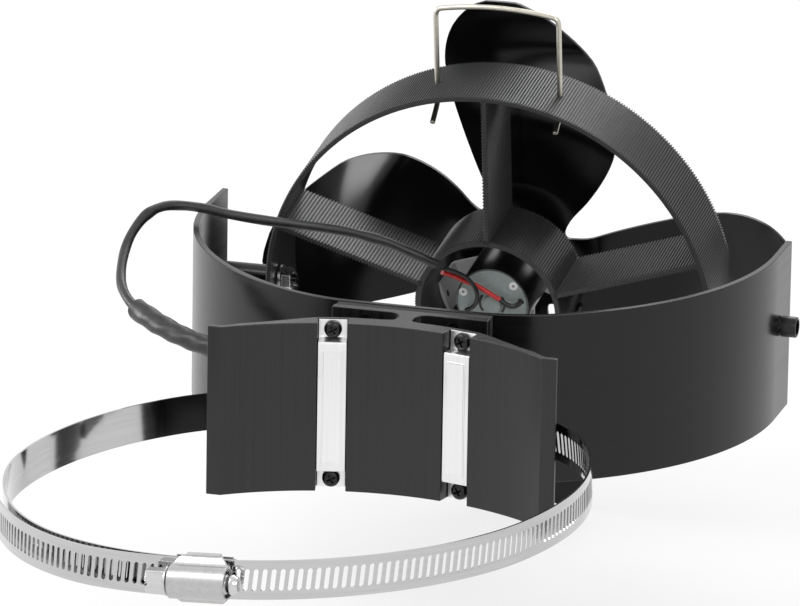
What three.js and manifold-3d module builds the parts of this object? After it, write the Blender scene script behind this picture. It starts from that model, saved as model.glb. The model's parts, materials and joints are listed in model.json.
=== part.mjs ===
// A stove fan for a flue pipe, in millimetres, +Z up.
// The flue side faces -Y, the air leaves towards +Y, and +X is to the right.
// The origin is the middle of the saddle's curved face, where it lies on the pipe.
import * as THREE from 'three';
import * as BufferGeometryUtils from 'three/addons/utils/BufferGeometryUtils.js';
import Module from 'manifold-3d';

const wasm = await Module();
wasm.setup();

// Shared sizes
const HEIGHT = 55;
const GAP = 0.3;
const PLAY = 0.15;

// Hot saddle: an extruded aluminium block that hugs the pipe
const FLUE_RADIUS = 85;
const LAND_INNER = 51.5;
const LAND_OUTER = 56.2;
const WING_TIP = 2.2;
const SLOT_ANGLE = 13.6;
const SLOT_WIDTH = 9.4;
const SLOT_DEPTH = 5.4;
const WEB_HALF = 2.7;
const WEB_FOOT = 5.9;
const PLATE_HALF = 25.4;
const PLATE_FRONT = 15.3;
const PLATE_BACK = 18.3;
const WINDOW_HEIGHT = 24;
const WINDOW_FRONT = 8.4;

// Magnets and their covers
const COVER_WIDTH = 8.9;
const COVER_SHEET = 0.6;
const COVER_FACE = 85.3;
const COVER_STEP = 21.35;
const COVER_END = 27.35;
const COVER_SCREW_Z = 24.4;
const EMBOSS = [6.3, 37, 0.2];
const MAGNET_WIDTH = 8.2;
const MAGNET_LENGTH = 40.6;
const M3 = 1.45;
const M3_HOLE = 1.75;
const PAN_HEAD = 2.8;
const PAN_HEIGHT = 1.9;

// Thermoelectric stack between the saddle and the cold shell
const MODULE_SIDE = 40;
const SHELL_FRONT = 22.3;
const PAD = 0.3;
const FRAME_INNER = 41;
const STACK_SCREW_X = 14;
const STACK_SCREW_Z = 23.9;

// Cold shell: an extruded bowl with two straight lips
const SHELL_WALL = 2;
const SHELL_FLAT_LEFT = 19.6;
const SHELL_FLAT_RIGHT = 18;
const SHELL_SMALL_RADIUS = 56;
const SHELL_LARGE_RADIUS = 98;
const SHELL_LIP_END = 133;
const SHELL_LEFT = 96.6;
const SHELL_RIGHT = 95;

// Tilting ring with its hub
const RING_Y = 110.5;
const RING_Z = 1.3;
const RING_TILT = 8.26;
const RING_RADIUS = 75;
const RING_WALL = 1.7;
const RING_DEPTH = 29;
const RING_LEG = 12;
const RIB_PITCH = 4.5;
const RIB_HEIGHT = 0.5;
const SPOKE_ANGLES = [18, 90, 162];
const SPOKE_THICKNESS = 1.8;
const HUB_OUTER = 24.5;
const HUB_INNER = 22.5;

// Tilt pivot, across both lips
const PIVOT_Y = 120.5;
const PIVOT_Z = 2.5;
const PIVOT_BOLT = 2;
const PIVOT_HOLE = 2.25;
const SPACER_RADIUS = 4;
const KNOB_RADIUS = 3.4;
const KNOB_LENGTH = 5.4;

// Motor and its bracket, placed in the ring's own frame (depth counts from the ring's front)
const MOTOR_RADIUS = 12.2;
const MOTOR_FRONT = 5.6;
const MOTOR_BACK = 36.3;
const SHAFT_RADIUS = 1;
const BRACKET_ANGLES = [198, 270, 342];
const BRACKET_WIDTH = 11;
const BRACKET_SHEET = 1.2;
const BRACKET_SCREW_DEPTH = 24;
const MOTOR_SCREW_PITCH = 17;

// Propeller: one stamped sheet with four blades
const BLADES = 4;
const BLADE_RADIUS = 90;
const BLADE_SHEET = 1.2;
const BLADE_ROOT = 20.8;
const BLADE_VALLEY = 27;
const PROPELLER_DEPTH = 41.2;
const BOSS_RADIUS = 4;
const BOSS_FLANGE = 8.5;

// Bail handle of wire
const BAIL_X = 1.1;
const BAIL_HALF = 20.4;
const BAIL_WIRE = 0.85;
const BAIL_TOP = 98.4;
const BAIL_PEAK = 100.6;
const BAIL_FOOT = 67.4;

// Worm-drive clamp band round the pipe
const LOOP_RADIUS = 94;
const LOOP_X = -10;
const LOOP_Y = -78;
const LOOP_Z = -2.63;
const LOOP_PITCH = -0.9;
const LOOP_ROLL = -2.7;
const BAND_WIDTH = 12;
const BAND_SHEET = 0.7;
const BAND_PITCH = 8;
const BAND_SLOT = [2.6, 6.2];
const HOUSING_ANGLE = 270;
const HOUSING_LENGTH = 17.5;
const HOUSING_HALF = 7.2;
const WORM_OFFSET = 5.6;
const WORM_RADIUS = 3.9;
const WORM_HEX = 7;

// Lead from the module to the motor
const SLEEVE_RADIUS = 1.5;
const SHRINK_RADIUS = 3.4;
const WIRE_RADIUS = 0.6;

const rad = THREE.MathUtils.degToRad;
const part = new THREE.Group();
const ring = new THREE.Group();
ring.position.set(0, RING_Y, RING_Z);
ring.rotation.x = rad(RING_TILT);
part.add(ring);

// Materials
const paint = (color, metalness, roughness) => (
  new THREE.MeshStandardMaterial({ color, metalness, roughness })
);
const blackAnodised = paint(0x3a3a3b, 0.6, 0.45);
const brushedBlack = paint(0x444445, 0.7, 0.35);
const bladeBlack = paint(0x2c2c2d, 0.6, 0.35);
const brightSteel = paint(0xd8d8d6, 0.9, 0.3);
const stainless = paint(0xc9c8c6, 0.9, 0.3);
const darkSteel = paint(0x2d2d2e, 0.6, 0.4);
const zinc = paint(0xc4c4c2, 0.8, 0.35);
const magnetGrey = paint(0x77777a, 0.8, 0.4);
const ceramic = paint(0xe8e4da, 0.0, 0.6);
const graphite = paint(0x2a2a2c, 0.1, 0.8);
const insulator = paint(0x1e1e1f, 0.0, 0.8);
const motorBlack = paint(0x161616, 0.3, 0.25);
const plateGrey = paint(0x9aa19f, 0.1, 0.5);
const brass = paint(0xb79a52, 0.9, 0.3);
const cableBlack = paint(0x3c3c3b, 0.0, 0.6);
const wireRed = paint(0xa83232, 0.0, 0.5);
const wireBlack = paint(0x1c1c1c, 0.0, 0.5);

// Solids
function weld(geometry) {
  const bare = geometry.clone();
  bare.deleteAttribute('normal');
  bare.deleteAttribute('uv');
  return BufferGeometryUtils.mergeVertices(bare, 1e-4);
}

function solid(geometry) {
  const welded = weld(geometry);
  const vertProperties = new Float32Array(welded.attributes.position.array);
  const triVerts = new Uint32Array(welded.index.array);
  return new wasm.Manifold(new wasm.Mesh({ numProp: 3, vertProperties, triVerts }));
}

function geometryOf(manifold) {
  const mesh = manifold.getMesh();
  const geometry = new THREE.BufferGeometry();
  geometry.setAttribute('position', new THREE.BufferAttribute(mesh.vertProperties, 3));
  geometry.setIndex(new THREE.BufferAttribute(mesh.triVerts, 1));
  geometry.computeVertexNormals();
  return geometry;
}

function cut(geometry, ...cutters) {
  let body = solid(geometry);
  for (const cutter of cutters) {
    body = body.subtract(solid(cutter));
  }
  return geometryOf(body);
}

function join(geometry, ...others) {
  let body = solid(geometry);
  for (const other of others) {
    body = body.add(solid(other));
  }
  return geometryOf(body);
}

function addPiece(parent, name, geometry, material) {
  const mesh = new THREE.Mesh(geometry, material);
  mesh.name = name;
  parent.add(mesh);
  return mesh;
}

// A plan outline raised along Z
function raise(shape, low, high, curveSegments = 24) {
  const options = { depth: high - low, bevelEnabled: false, curveSegments };
  return new THREE.ExtrudeGeometry(shape, options).translate(0, 0, low);
}

// An outline drawn in X and Z, raised along Y
function raiseY(shape, front, back, curveSegments = 24) {
  const options = { depth: back - front, bevelEnabled: false, curveSegments };
  return new THREE.ExtrudeGeometry(shape, options).rotateX(Math.PI / 2).translate(0, back, 0);
}

// A turned profile of [radius, height] points round the Z axis
function turn(points, segments = 32) {
  const profile = points.map(([r, h]) => new THREE.Vector2(r, h));
  return new THREE.LatheGeometry(profile, segments).rotateX(Math.PI / 2);
}

function rod(radius, length, segments = 20) {
  return new THREE.CylinderGeometry(radius, radius, length, segments);
}

const rodX = (radius, from, to, y, z, segments = 24) => (
  rod(radius, to - from, segments).rotateZ(-Math.PI / 2).translate((from + to) / 2, y, z)
);
const rodY = (radius, from, to, x, z, segments = 20) => (
  rod(radius, to - from, segments).translate(x, (from + to) / 2, z)
);
const box = (width, depth, height, x, y, z) => (
  new THREE.BoxGeometry(width, depth, height).translate(x, y, z)
);

function pipe(path, radius, steps, sides = 8) {
  const section = new THREE.Shape();
  for (let i = 0; i < sides; i += 1) {
    const turnAngle = (i / sides) * Math.PI * 2;
    section.lineTo(radius * Math.cos(turnAngle), radius * Math.sin(turnAngle));
  }
  section.curves.shift();
  section.closePath();
  return new THREE.ExtrudeGeometry(section, { steps, extrudePath: path });
}

// Hot saddle
const flueCentre = new THREE.Vector2(0, -FLUE_RADIUS);
const landY = -FLUE_RADIUS + Math.sqrt(FLUE_RADIUS ** 2 - LAND_INNER ** 2);

// A point by its distance from the pipe's axis, on a line at an angle from the middle of the face
function onSlot(side, across, radius) {
  const angle = side * rad(SLOT_ANGLE);
  const x = flueCentre.x + radius * Math.sin(angle) + across * Math.cos(angle);
  const y = flueCentre.y + radius * Math.cos(angle) - across * Math.sin(angle);
  return [x, y];
}

function saddleOutline() {
  const shape = new THREE.Shape();
  const half = SLOT_WIDTH / 2;
  const mouth = Math.sqrt(FLUE_RADIUS ** 2 - half ** 2);
  const floor = FLUE_RADIUS + SLOT_DEPTH;
  const landAngle = Math.asin(LAND_INNER / FLUE_RADIUS);
  const slotAngle = rad(SLOT_ANGLE);
  const slotHalf = Math.asin(half / FLUE_RADIUS);
  const top = Math.PI / 2;
  const face = (from, to) => {
    shape.absarc(flueCentre.x, flueCentre.y, FLUE_RADIUS, top - from, top - to, true);
  };
  shape.moveTo(-LAND_OUTER, landY);
  shape.lineTo(-LAND_INNER, landY);
  face(-landAngle, -slotAngle - slotHalf);
  shape.lineTo(...onSlot(-1, -half, floor));
  shape.lineTo(...onSlot(-1, half, floor));
  shape.lineTo(...onSlot(-1, half, mouth));
  face(-slotAngle + slotHalf, slotAngle - slotHalf);
  shape.lineTo(...onSlot(1, -half, floor));
  shape.lineTo(...onSlot(1, half, floor));
  shape.lineTo(...onSlot(1, half, mouth));
  face(slotAngle + slotHalf, landAngle);
  shape.lineTo(LAND_OUTER, landY);
  const wingBack = [
    [LAND_OUTER - 0.7, landY + WING_TIP], [52, -15.1], [47.4, -11.3], [42.4, -8.2],
    [34.5, -2.6], [26.5, 2.7], [16, 5.6], [WEB_FOOT, 7],
  ];
  const web = [
    [WEB_HALF + 0.6, 7.7], [WEB_HALF, 9], [WEB_HALF, 12.6], [3.7, 14.4], [WEB_FOOT, PLATE_FRONT],
  ];
  shape.lineTo(LAND_OUTER, landY + WING_TIP - 0.7);
  shape.lineTo(...wingBack[0]);
  shape.splineThru(wingBack.slice(1).map(([x, y]) => new THREE.Vector2(x, y)));
  web.forEach(([x, y]) => shape.lineTo(x, y));
  shape.lineTo(PLATE_HALF, PLATE_FRONT);
  shape.lineTo(PLATE_HALF, PLATE_BACK);
  shape.lineTo(-PLATE_HALF, PLATE_BACK);
  shape.lineTo(-PLATE_HALF, PLATE_FRONT);
  [...web].reverse().forEach(([x, y]) => shape.lineTo(-x, y));
  const leftBack = [...wingBack].reverse().map(([x, y]) => new THREE.Vector2(-x, y));
  shape.lineTo(leftBack[0].x, leftBack[0].y);
  shape.splineThru(leftBack.slice(1, -1));
  shape.lineTo(leftBack[leftBack.length - 1].x, leftBack[leftBack.length - 1].y);
  shape.lineTo(-LAND_OUTER, landY + WING_TIP - 0.7);
  shape.closePath();
  return shape;
}

// Turns a piece drawn with its face towards -Y, at a distance from the pipe's axis, into its slot
function intoSlot(geometry, side) {
  return geometry.rotateZ(-side * rad(SLOT_ANGLE)).translate(flueCentre.x, flueCentre.y, 0);
}

function buildSaddle() {
  const cutters = [];
  const windowDepth = PLATE_FRONT - GAP - WINDOW_FRONT;
  const windowMiddle = WINDOW_FRONT + windowDepth / 2;
  cutters.push(box(2 * WEB_FOOT + 2, windowDepth, WINDOW_HEIGHT, 0, windowMiddle, 0));
  for (const side of [-1, 1]) {
    for (const end of [-1, 1]) {
      const hole = rodY(M3_HOLE, FLUE_RADIUS, FLUE_RADIUS + 12, 0, end * COVER_SCREW_Z, 16);
      cutters.push(intoSlot(hole, side));
      const x = side * STACK_SCREW_X;
      cutters.push(rodY(M3_HOLE, PLATE_FRONT - 1, PLATE_BACK + 1, x, end * STACK_SCREW_Z, 16));
    }
  }
  const body = raise(saddleOutline(), -HEIGHT / 2, HEIGHT / 2, 4);
  addPiece(part, 'hot_saddle', cut(body, ...cutters), blackAnodised);
}

// Magnets, covers and their screws
function coverProfile() {
  const back = FLUE_RADIUS + SLOT_DEPTH - GAP;
  const front = COVER_FACE;
  const half = [
    [COVER_STEP, front], [COVER_STEP, back - COVER_SHEET], [COVER_END, back - COVER_SHEET],
    [COVER_END, back], [COVER_STEP - COVER_SHEET, back], [COVER_STEP - COVER_SHEET, front + COVER_SHEET],
  ];
  const outline = [...half, ...[...half].reverse().map(([z, r]) => [-z, r])];
  return new THREE.Shape(outline.map(([z, r]) => new THREE.Vector2(r, z)));
}

function panScrew(head, height, shank, length, segments = 9) {
  const profile = [
    [0, -length], [shank, -length], [shank, 0], [head, 0],
    [head, height * 0.6], [head * 0.7, height], [0, height],
  ];
  return turn(profile, segments);
}

function buildMagnets() {
  const words = [[-1, 'left'], [1, 'right']];
  const floor = FLUE_RADIUS + SLOT_DEPTH;
  for (const [side, word] of words) {
    const length = floor - GAP - (COVER_FACE + COVER_SHEET) - 2 * PLAY;
    const middle = floor - GAP - PLAY - length / 2;
    const bar = box(MAGNET_WIDTH, length, MAGNET_LENGTH, 0, middle, 0);
    addPiece(part, `magnet_${word}`, intoSlot(bar, side), magnetGrey);
    const sheet = new THREE.ExtrudeGeometry(coverProfile(), { depth: COVER_WIDTH, bevelEnabled: false });
    // The profile is drawn as (distance, height), so it is stood up across the slot
    sheet.applyMatrix4(new THREE.Matrix4().set(
      0, 0, 1, -COVER_WIDTH / 2,
      1, 0, 0, 0,
      0, 1, 0, 0,
      0, 0, 0, 1,
    ));
    const pad = box(EMBOSS[0], 2 * EMBOSS[2], EMBOSS[1], 0, COVER_FACE, 0);
    let cover = join(sheet, pad);
    for (const end of [-1, 1]) {
      const z = end * COVER_SCREW_Z;
      cover = cut(cover, rodY(M3_HOLE, FLUE_RADIUS, floor + 2, 0, z, 16));
      const screw = panScrew(PAN_HEAD, PAN_HEIGHT, M3, 4.6).rotateX(Math.PI / 2);
      screw.translate(0, floor - GAP - COVER_SHEET - PLAY, z);
      const height = end > 0 ? 'top' : 'bottom';
      addPiece(part, `cover_screw_${word}_${height}`, intoSlot(screw, side), darkSteel);
    }
    addPiece(part, `magnet_cover_${word}`, intoSlot(cover, side), brightSteel);
  }
}

// Thermoelectric module with a pad on each side, in a frame that keeps the heat out of the gap
function buildStack() {
  const hotPad = PLATE_BACK + PLAY;
  const coldPad = SHELL_FRONT - PLAY - PAD;
  const moduleFront = hotPad + PAD + PLAY;
  const moduleBack = coldPad - PLAY;
  const slab = (front, back, side) => box(side, back - front, side, 0, (front + back) / 2, 0);
  addPiece(part, 'thermal_pad_hot', slab(hotPad, hotPad + PAD, MODULE_SIDE), graphite);
  addPiece(part, 'thermal_pad_cold', slab(coldPad, coldPad + PAD, MODULE_SIDE), graphite);
  addPiece(part, 'thermoelectric_module', slab(moduleFront, moduleBack, MODULE_SIDE), ceramic);

  const frameFront = PLATE_BACK + PLAY;
  const frameBack = SHELL_FRONT - PLAY;
  const middle = (frameFront + frameBack) / 2;
  const frameDepth = frameBack - frameFront;
  const body = box(2 * PLATE_HALF - 0.6, frameDepth, HEIGHT - 0.6, 0, middle, 0);
  const cutters = [
    box(FRAME_INNER, 6, FRAME_INNER, 0, middle, 0),
    box(8, 6, 6, -PLATE_HALF + 2, middle, 8),
  ];
  for (const x of [-1, 1]) {
    for (const z of [-1, 1]) {
      const place = [x * STACK_SCREW_X, z * STACK_SCREW_Z];
      cutters.push(rodY(M3_HOLE, PLATE_BACK - 2, SHELL_FRONT + 2, ...place, 16));
    }
  }
  addPiece(part, 'insulation_frame', cut(body, ...cutters), insulator);
}

function shellOutline() {
  const shape = new THREE.Shape();
  const bend = Math.PI / 3;
  const flat = { left: SHELL_FLAT_LEFT, right: SHELL_FLAT_RIGHT };
  const smallY = SHELL_FRONT + SHELL_SMALL_RADIUS;
  const largeIn = (SHELL_LARGE_RADIUS - SHELL_SMALL_RADIUS) / 2;
  const largeY = smallY + (SHELL_LARGE_RADIUS - SHELL_SMALL_RADIUS) * Math.cos(Math.PI / 6);
  const largeX = { left: flat.left - largeIn, right: flat.right - largeIn };
  const large = SHELL_LARGE_RADIUS;
  const small = SHELL_SMALL_RADIUS;
  const wall = SHELL_WALL;
  shape.moveTo(SHELL_RIGHT, SHELL_LIP_END);
  shape.absarc(largeX.right, largeY, large, 0, -bend, true);
  shape.absarc(flat.right, smallY, small, -bend, -Math.PI / 2, true);
  shape.absarc(-flat.left, smallY, small, -Math.PI / 2, -Math.PI + bend, true);
  shape.absarc(-largeX.left, largeY, large, -Math.PI + bend, -Math.PI, true);
  shape.lineTo(-SHELL_LEFT, SHELL_LIP_END);
  shape.lineTo(wall - SHELL_LEFT, SHELL_LIP_END);
  shape.absarc(-largeX.left, largeY, large - wall, -Math.PI, -Math.PI + bend, false);
  shape.absarc(-flat.left, smallY, small - wall, -Math.PI + bend, -Math.PI / 2, false);
  shape.absarc(flat.right, smallY, small - wall, -Math.PI / 2, -bend, false);
  shape.absarc(largeX.right, largeY, large - wall, -bend, 0, false);
  shape.lineTo(SHELL_RIGHT - wall, SHELL_LIP_END);
  shape.closePath();
  return shape;
}

function buildShell() {
  const cutters = [];
  for (const x of [-1, 1]) {
    const wall = x > 0 ? SHELL_RIGHT : -SHELL_LEFT;
    cutters.push(rodX(PIVOT_HOLE, wall - 5, wall + 5, PIVOT_Y, PIVOT_Z, 16));
    for (const z of [-1, 1]) {
      const place = [x * STACK_SCREW_X, z * STACK_SCREW_Z];
      cutters.push(rodY(M3_HOLE, SHELL_FRONT - 2, SHELL_FRONT + 4, ...place, 16));
      const screw = panScrew(PAN_HEAD - 0.1, PAN_HEIGHT, M3, 8.6).rotateX(-Math.PI / 2);
      screw.translate(place[0], SHELL_FRONT + SHELL_WALL + PLAY, place[1]);
      const name = `stack_screw_${x > 0 ? 'right' : 'left'}_${z > 0 ? 'top' : 'bottom'}`;
      addPiece(part, name, screw, darkSteel);
    }
  }
  const body = raise(shellOutline(), -HEIGHT / 2, HEIGHT / 2, 7);
  addPiece(part, 'cold_shell', cut(body, ...cutters), brushedBlack);
}

// Tilt pivot: a bolt, spacer, washer and nut on each side, and a knob that locks the right one
function sleeve(outer, inner, from, to, segments = 18) {
  return cut(
    rodX(outer, from, to, PIVOT_Y, PIVOT_Z, segments),
    rodX(inner, from - 1, to + 1, PIVOT_Y, PIVOT_Z, 14),
  );
}

function nut(acrossFlats, from, to) {
  const corner = acrossFlats / Math.sqrt(3);
  return cut(
    rodX(corner, from, to, PIVOT_Y, PIVOT_Z, 6),
    rodX(PIVOT_BOLT + 0.1, from - 1, to + 1, PIVOT_Y, PIVOT_Z, 14),
  );
}

function buildPivot() {
  const ringInside = RING_RADIUS - RING_WALL;
  const washerOut = ringInside - 0.5;
  const nutOut = washerOut - 0.9 - PLAY;
  const nutIn = nutOut - 3.2;
  const boltEnd = nutIn - 1.6;

  addPiece(part, 'pivot_spacer_left',
    sleeve(SPACER_RADIUS, PIVOT_HOLE, SHELL_WALL - SHELL_LEFT + GAP, -RING_RADIUS - GAP), darkSteel);
  addPiece(part, 'pivot_spacer_right',
    sleeve(SPACER_RADIUS, PIVOT_HOLE, RING_RADIUS + GAP, SHELL_RIGHT - SHELL_WALL - GAP), darkSteel);
  addPiece(part, 'pivot_washer_left',
    sleeve(4.5, PIVOT_HOLE, -washerOut, -washerOut + 0.9), zinc);
  addPiece(part, 'pivot_washer_right',
    sleeve(4.5, PIVOT_HOLE, washerOut - 0.9, washerOut), zinc);
  addPiece(part, 'pivot_nut_left', nut(7, -nutOut, -nutIn), zinc);

  const underHead = SHELL_LEFT - boltEnd + PLAY;
  const headProfile = [
    [0, 0], [PIVOT_BOLT, 0], [PIVOT_BOLT, underHead], [3.9, underHead], [3.7, underHead + 1.5],
    [2.6, underHead + 2.1], [0, underHead + 2.1],
  ];
  const leftBolt = turn(headProfile, 14).rotateY(-Math.PI / 2).translate(-boltEnd, PIVOT_Y, PIVOT_Z);
  addPiece(part, 'pivot_bolt_left', leftBolt, darkSteel);

  const boltTip = SHELL_RIGHT + KNOB_LENGTH - 2;
  const screwHead = 2.4;
  const rightProfile = [
    [0, nutOut - screwHead], [3.2, nutOut - screwHead], [3.6, nutOut - screwHead + 0.6], [3.6, nutOut],
    [PIVOT_BOLT, nutOut], [PIVOT_BOLT, boltTip], [0, boltTip],
  ];
  const rightBolt = turn(rightProfile, 14).rotateY(Math.PI / 2).translate(0, PIVOT_Y, PIVOT_Z);
  addPiece(part, 'pivot_bolt_right', rightBolt, zinc);

  const knobStart = SHELL_RIGHT + GAP;
  const knobEnd = SHELL_RIGHT + KNOB_LENGTH;
  const knob = cut(
    rodX(KNOB_RADIUS, knobStart, knobEnd, PIVOT_Y, PIVOT_Z, 24),
    rodX(PIVOT_BOLT + 0.12, knobStart - 1, boltTip + GAP, PIVOT_Y, PIVOT_Z, 14),
    rodX(2.5, knobEnd - 1.4, knobEnd + 1, PIVOT_Y, PIVOT_Z, 18),
  );
  addPiece(part, 'lock_knob', knob, darkSteel);
}

// Ring, spokes and hub: one black extrusion with fine ribs along its length
function ribbedArc(radius, from, to, pitch, height) {
  const count = Math.round((rad(to - from) * radius) / pitch);
  const points = [];
  for (let i = 0; i <= 2 * count; i += 1) {
    const angle = rad(from) + (rad(to - from) * i) / (2 * count);
    const r = i % 2 ? radius - height : radius;
    points.push(new THREE.Vector2(r * Math.cos(angle), r * Math.sin(angle)));
  }
  return points;
}

function smoothArc(radius, from, to, steps) {
  const points = [];
  for (let i = 0; i <= steps; i += 1) {
    const angle = rad(from + ((to - from) * i) / steps);
    points.push(new THREE.Vector2(radius * Math.cos(angle), radius * Math.sin(angle)));
  }
  return points;
}

function buildRing() {
  const legAngle = THREE.MathUtils.radToDeg(Math.asin(RING_LEG / RING_RADIUS));
  const inside = RING_RADIUS - RING_WALL;
  const outerEdge = ribbedArc(RING_RADIUS, -legAngle, 180 + legAngle, RIB_PITCH, RIB_HEIGHT);
  const innerEdge = smoothArc(inside, 180 + legAngle, -legAngle, 48);
  const arch = raiseY(new THREE.Shape([...outerEdge, ...innerEdge]), 0, RING_DEPTH);

  const hubShape = new THREE.Shape(ribbedArc(HUB_OUTER, 0, 360, RIB_PITCH, RIB_HEIGHT).slice(0, -1));
  hubShape.holes.push(new THREE.Path(smoothArc(HUB_INNER, 0, 360, 36).slice(0, -1)));
  const hub = raiseY(hubShape, 0, RING_DEPTH);

  const spokes = SPOKE_ANGLES.map((angle) => {
    const start = HUB_INNER + 0.8;
    const end = inside + 0.6;
    const count = Math.round((end - start) / RIB_PITCH);
    const top = [];
    for (let i = 0; i <= 2 * count; i += 1) {
      const along = start + ((end - start) * i) / (2 * count);
      const half = SPOKE_THICKNESS / 2 + (i % 2 ? RIB_HEIGHT / 2 : -RIB_HEIGHT / 2);
      top.push(new THREE.Vector2(along, half));
    }
    const low = [...top].reverse().map((point) => new THREE.Vector2(point.x, -point.y));
    return raiseY(new THREE.Shape([...low, ...top]), 0, RING_DEPTH).rotateY(-rad(angle));
  });

  const pivotDepth = pivotInRing.y;
  const cutters = [];
  for (const side of [-1, 1]) {
    const x = side * RING_RADIUS;
    cutters.push(rodX(PIVOT_HOLE, x - 5, x + 5, pivotDepth, pivotInRing.z, 20));
    const leg = rod(BAIL_WIRE + GAP, 12, 16).rotateX(Math.PI / 2);
    cutters.push(leg.translate(BAIL_X + side * BAIL_HALF, RING_DEPTH / 2, RING_RADIUS - 4));
  }
  for (const angle of BRACKET_ANGLES) {
    const hole = rodX(M3_HOLE - 0.4, HUB_INNER - 3, HUB_OUTER + 3, BRACKET_SCREW_DEPTH, 0, 12);
    cutters.push(hole.rotateY(-rad(angle)));
  }
  addPiece(ring, 'ring_heat_sink', cut(join(arch, hub, ...spokes), ...cutters), blackAnodised);
}

const pivotInRing = new THREE.Vector3(0, PIVOT_Y - RING_Y, PIVOT_Z - RING_Z)
  .applyAxisAngle(new THREE.Vector3(1, 0, 0), -rad(RING_TILT));

// Motor, drawn about the ring's axis
function aboutRingAxis(geometry) {
  return geometry.rotateX(-Math.PI / 2);
}

function buildMotor() {
  const lip = 0.5;
  const recess = 1;
  const can = [
    [0, MOTOR_FRONT + recess], [MOTOR_RADIUS - lip, MOTOR_FRONT + recess],
    [MOTOR_RADIUS - lip, MOTOR_FRONT], [MOTOR_RADIUS, MOTOR_FRONT + 0.2],
    [MOTOR_RADIUS, MOTOR_BACK - 0.8], [MOTOR_RADIUS - 0.8, MOTOR_BACK],
    [3, MOTOR_BACK], [3, MOTOR_BACK + 1.4], [0, MOTOR_BACK + 1.4],
  ];
  addPiece(ring, 'motor_can', aboutRingAxis(turn(can, 26)), motorBlack);

  const plateRadius = MOTOR_RADIUS - lip - PLAY;
  const plateTop = MOTOR_FRONT - 0.2;
  const plate = turn([
    [0, plateTop - 0.8], [3, plateTop - 0.8], [3, plateTop], [plateRadius, plateTop],
    [plateRadius, MOTOR_FRONT + recess - PLAY], [0, MOTOR_FRONT + recess - PLAY],
  ], 26);
  const terminals = [[-8.6, -2.7], [7.9, 6.7]].map(([x, z]) => (
    aboutRingAxis(turn([
      [0, plateTop - 0.4], [1.1, plateTop - 0.4], [1.1, plateTop + 0.3], [0, plateTop + 0.3],
    ], 8)).translate(x, 0, z)
  ));
  const vents = [[-25, 35], [145, 205]].map(([from, to]) => {
    const band = [...smoothArc(6.3, from, to, 8), ...smoothArc(5, to, from, 8)];
    return raiseY(new THREE.Shape(band), plateTop - 1, plateTop + 0.6);
  });
  addPiece(ring, 'motor_end_plate', cut(join(aboutRingAxis(plate), ...terminals), ...vents), plateGrey);

  const shaft = turn([
    [0, MOTOR_BACK + 1.4 + GAP], [SHAFT_RADIUS, MOTOR_BACK + 1.4 + GAP], [SHAFT_RADIUS, 50], [0, 50],
  ], 16);
  addPiece(ring, 'motor_shaft', aboutRingAxis(shaft), zinc);
}

// Bracket: a plate on the motor's front with three legs bent into the hub
function buildBracket() {
  const plateFront = MOTOR_BACK + PLAY;
  const legOut = HUB_INNER - PLAY - 0.1;
  const legStart = BRACKET_SCREW_DEPTH - 3.5;
  const pieces = BRACKET_ANGLES.map((angle) => {
    const profile = new THREE.Shape([
      [0, plateFront], [legOut - 2, plateFront], [legOut - BRACKET_SHEET, plateFront - 2],
      [legOut - BRACKET_SHEET, legStart], [legOut, legStart], [legOut, plateFront - 1],
      [legOut - 1.6, plateFront + BRACKET_SHEET], [0, plateFront + BRACKET_SHEET],
    ].map(([x, y]) => new THREE.Vector2(x, y)));
    const leg = raise(profile, -BRACKET_WIDTH / 2, BRACKET_WIDTH / 2);
    return leg.rotateY(-rad(angle));
  });
  const disc = rodY(11.4, plateFront, plateFront + BRACKET_SHEET, 0, 0, 36);
  const trim = cut(rodY(40, 0, 60, 0, 0, 36), rodY(legOut, -1, 61, 0, 0, 64));
  const cutters = [trim, rodY(3.4, plateFront - 1, plateFront + 3, 0, 0, 24)];
  for (const side of [-1, 1]) {
    cutters.push(rodY(1.3, plateFront - 1, plateFront + 3, side * MOTOR_SCREW_PITCH / 2, 0, 12));
    const screw = panScrew(1.9, 1.3, 1, BRACKET_SHEET + PLAY - 0.1).rotateX(-Math.PI / 2);
    screw.translate(side * MOTOR_SCREW_PITCH / 2, plateFront + BRACKET_SHEET + PLAY, 0);
    addPiece(ring, `motor_screw_${side > 0 ? 'right' : 'left'}`, screw, zinc);
  }
  const words = ['left', 'bottom', 'right'];
  BRACKET_ANGLES.forEach((angle, index) => {
    const hole = rodX(1.35, legOut - 4, legOut + 2, BRACKET_SCREW_DEPTH, 0, 12);
    cutters.push(hole.rotateY(-rad(angle)));
    const screw = panScrew(2.2, 1.4, 1.05, 3.6).rotateY(Math.PI / 2);
    screw.translate(HUB_OUTER + PLAY, BRACKET_SCREW_DEPTH, 0).rotateY(-rad(angle));
    addPiece(ring, `bracket_screw_${words[index]}`, screw, darkSteel);
  });
  addPiece(ring, 'motor_bracket', cut(join(disc, ...pieces), ...cutters), zinc);
}

// Propeller. Each blade runs from its straight edge to its round edge, which sits further back.
// Angles are clockwise from the blade's own line, seen from the front.
const VALLEY_ANGLE = -31;
const STRAIGHT_EDGE = [
  [27, -21.2], [58, -20.9], [72, -19.3], [77, -18], [84, -14.8], [88.2, -11.2], [90, -7],
];
const ROUND_EDGE = [
  [27, 47], [30, 46.5], [35, 45], [40, 43.3], [45, 41.3], [50, 38.9], [53, 36], [56, 32.3], [59, 28.5],
  [62, 24.9], [65, 21.4], [68, 18.6], [72, 14], [76.2, 10.3], [82, 5.3], [87.6, -1], [89.4, -5], [90, -7],
];
const ROUND_DEPTH = [
  [20.8, 0], [25, 0.5], [30, 1.6], [35, 2.8], [40, 3.5], [45, 3.7], [50, 3.9], [53, 5.3], [56, 7.5],
  [59, 10.2], [62, 12.8], [65, 15], [68, 16.2], [72, 15.4], [76.2, 12.8], [82, 9.8], [87.6, 7], [90, 2.6],
];
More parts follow.
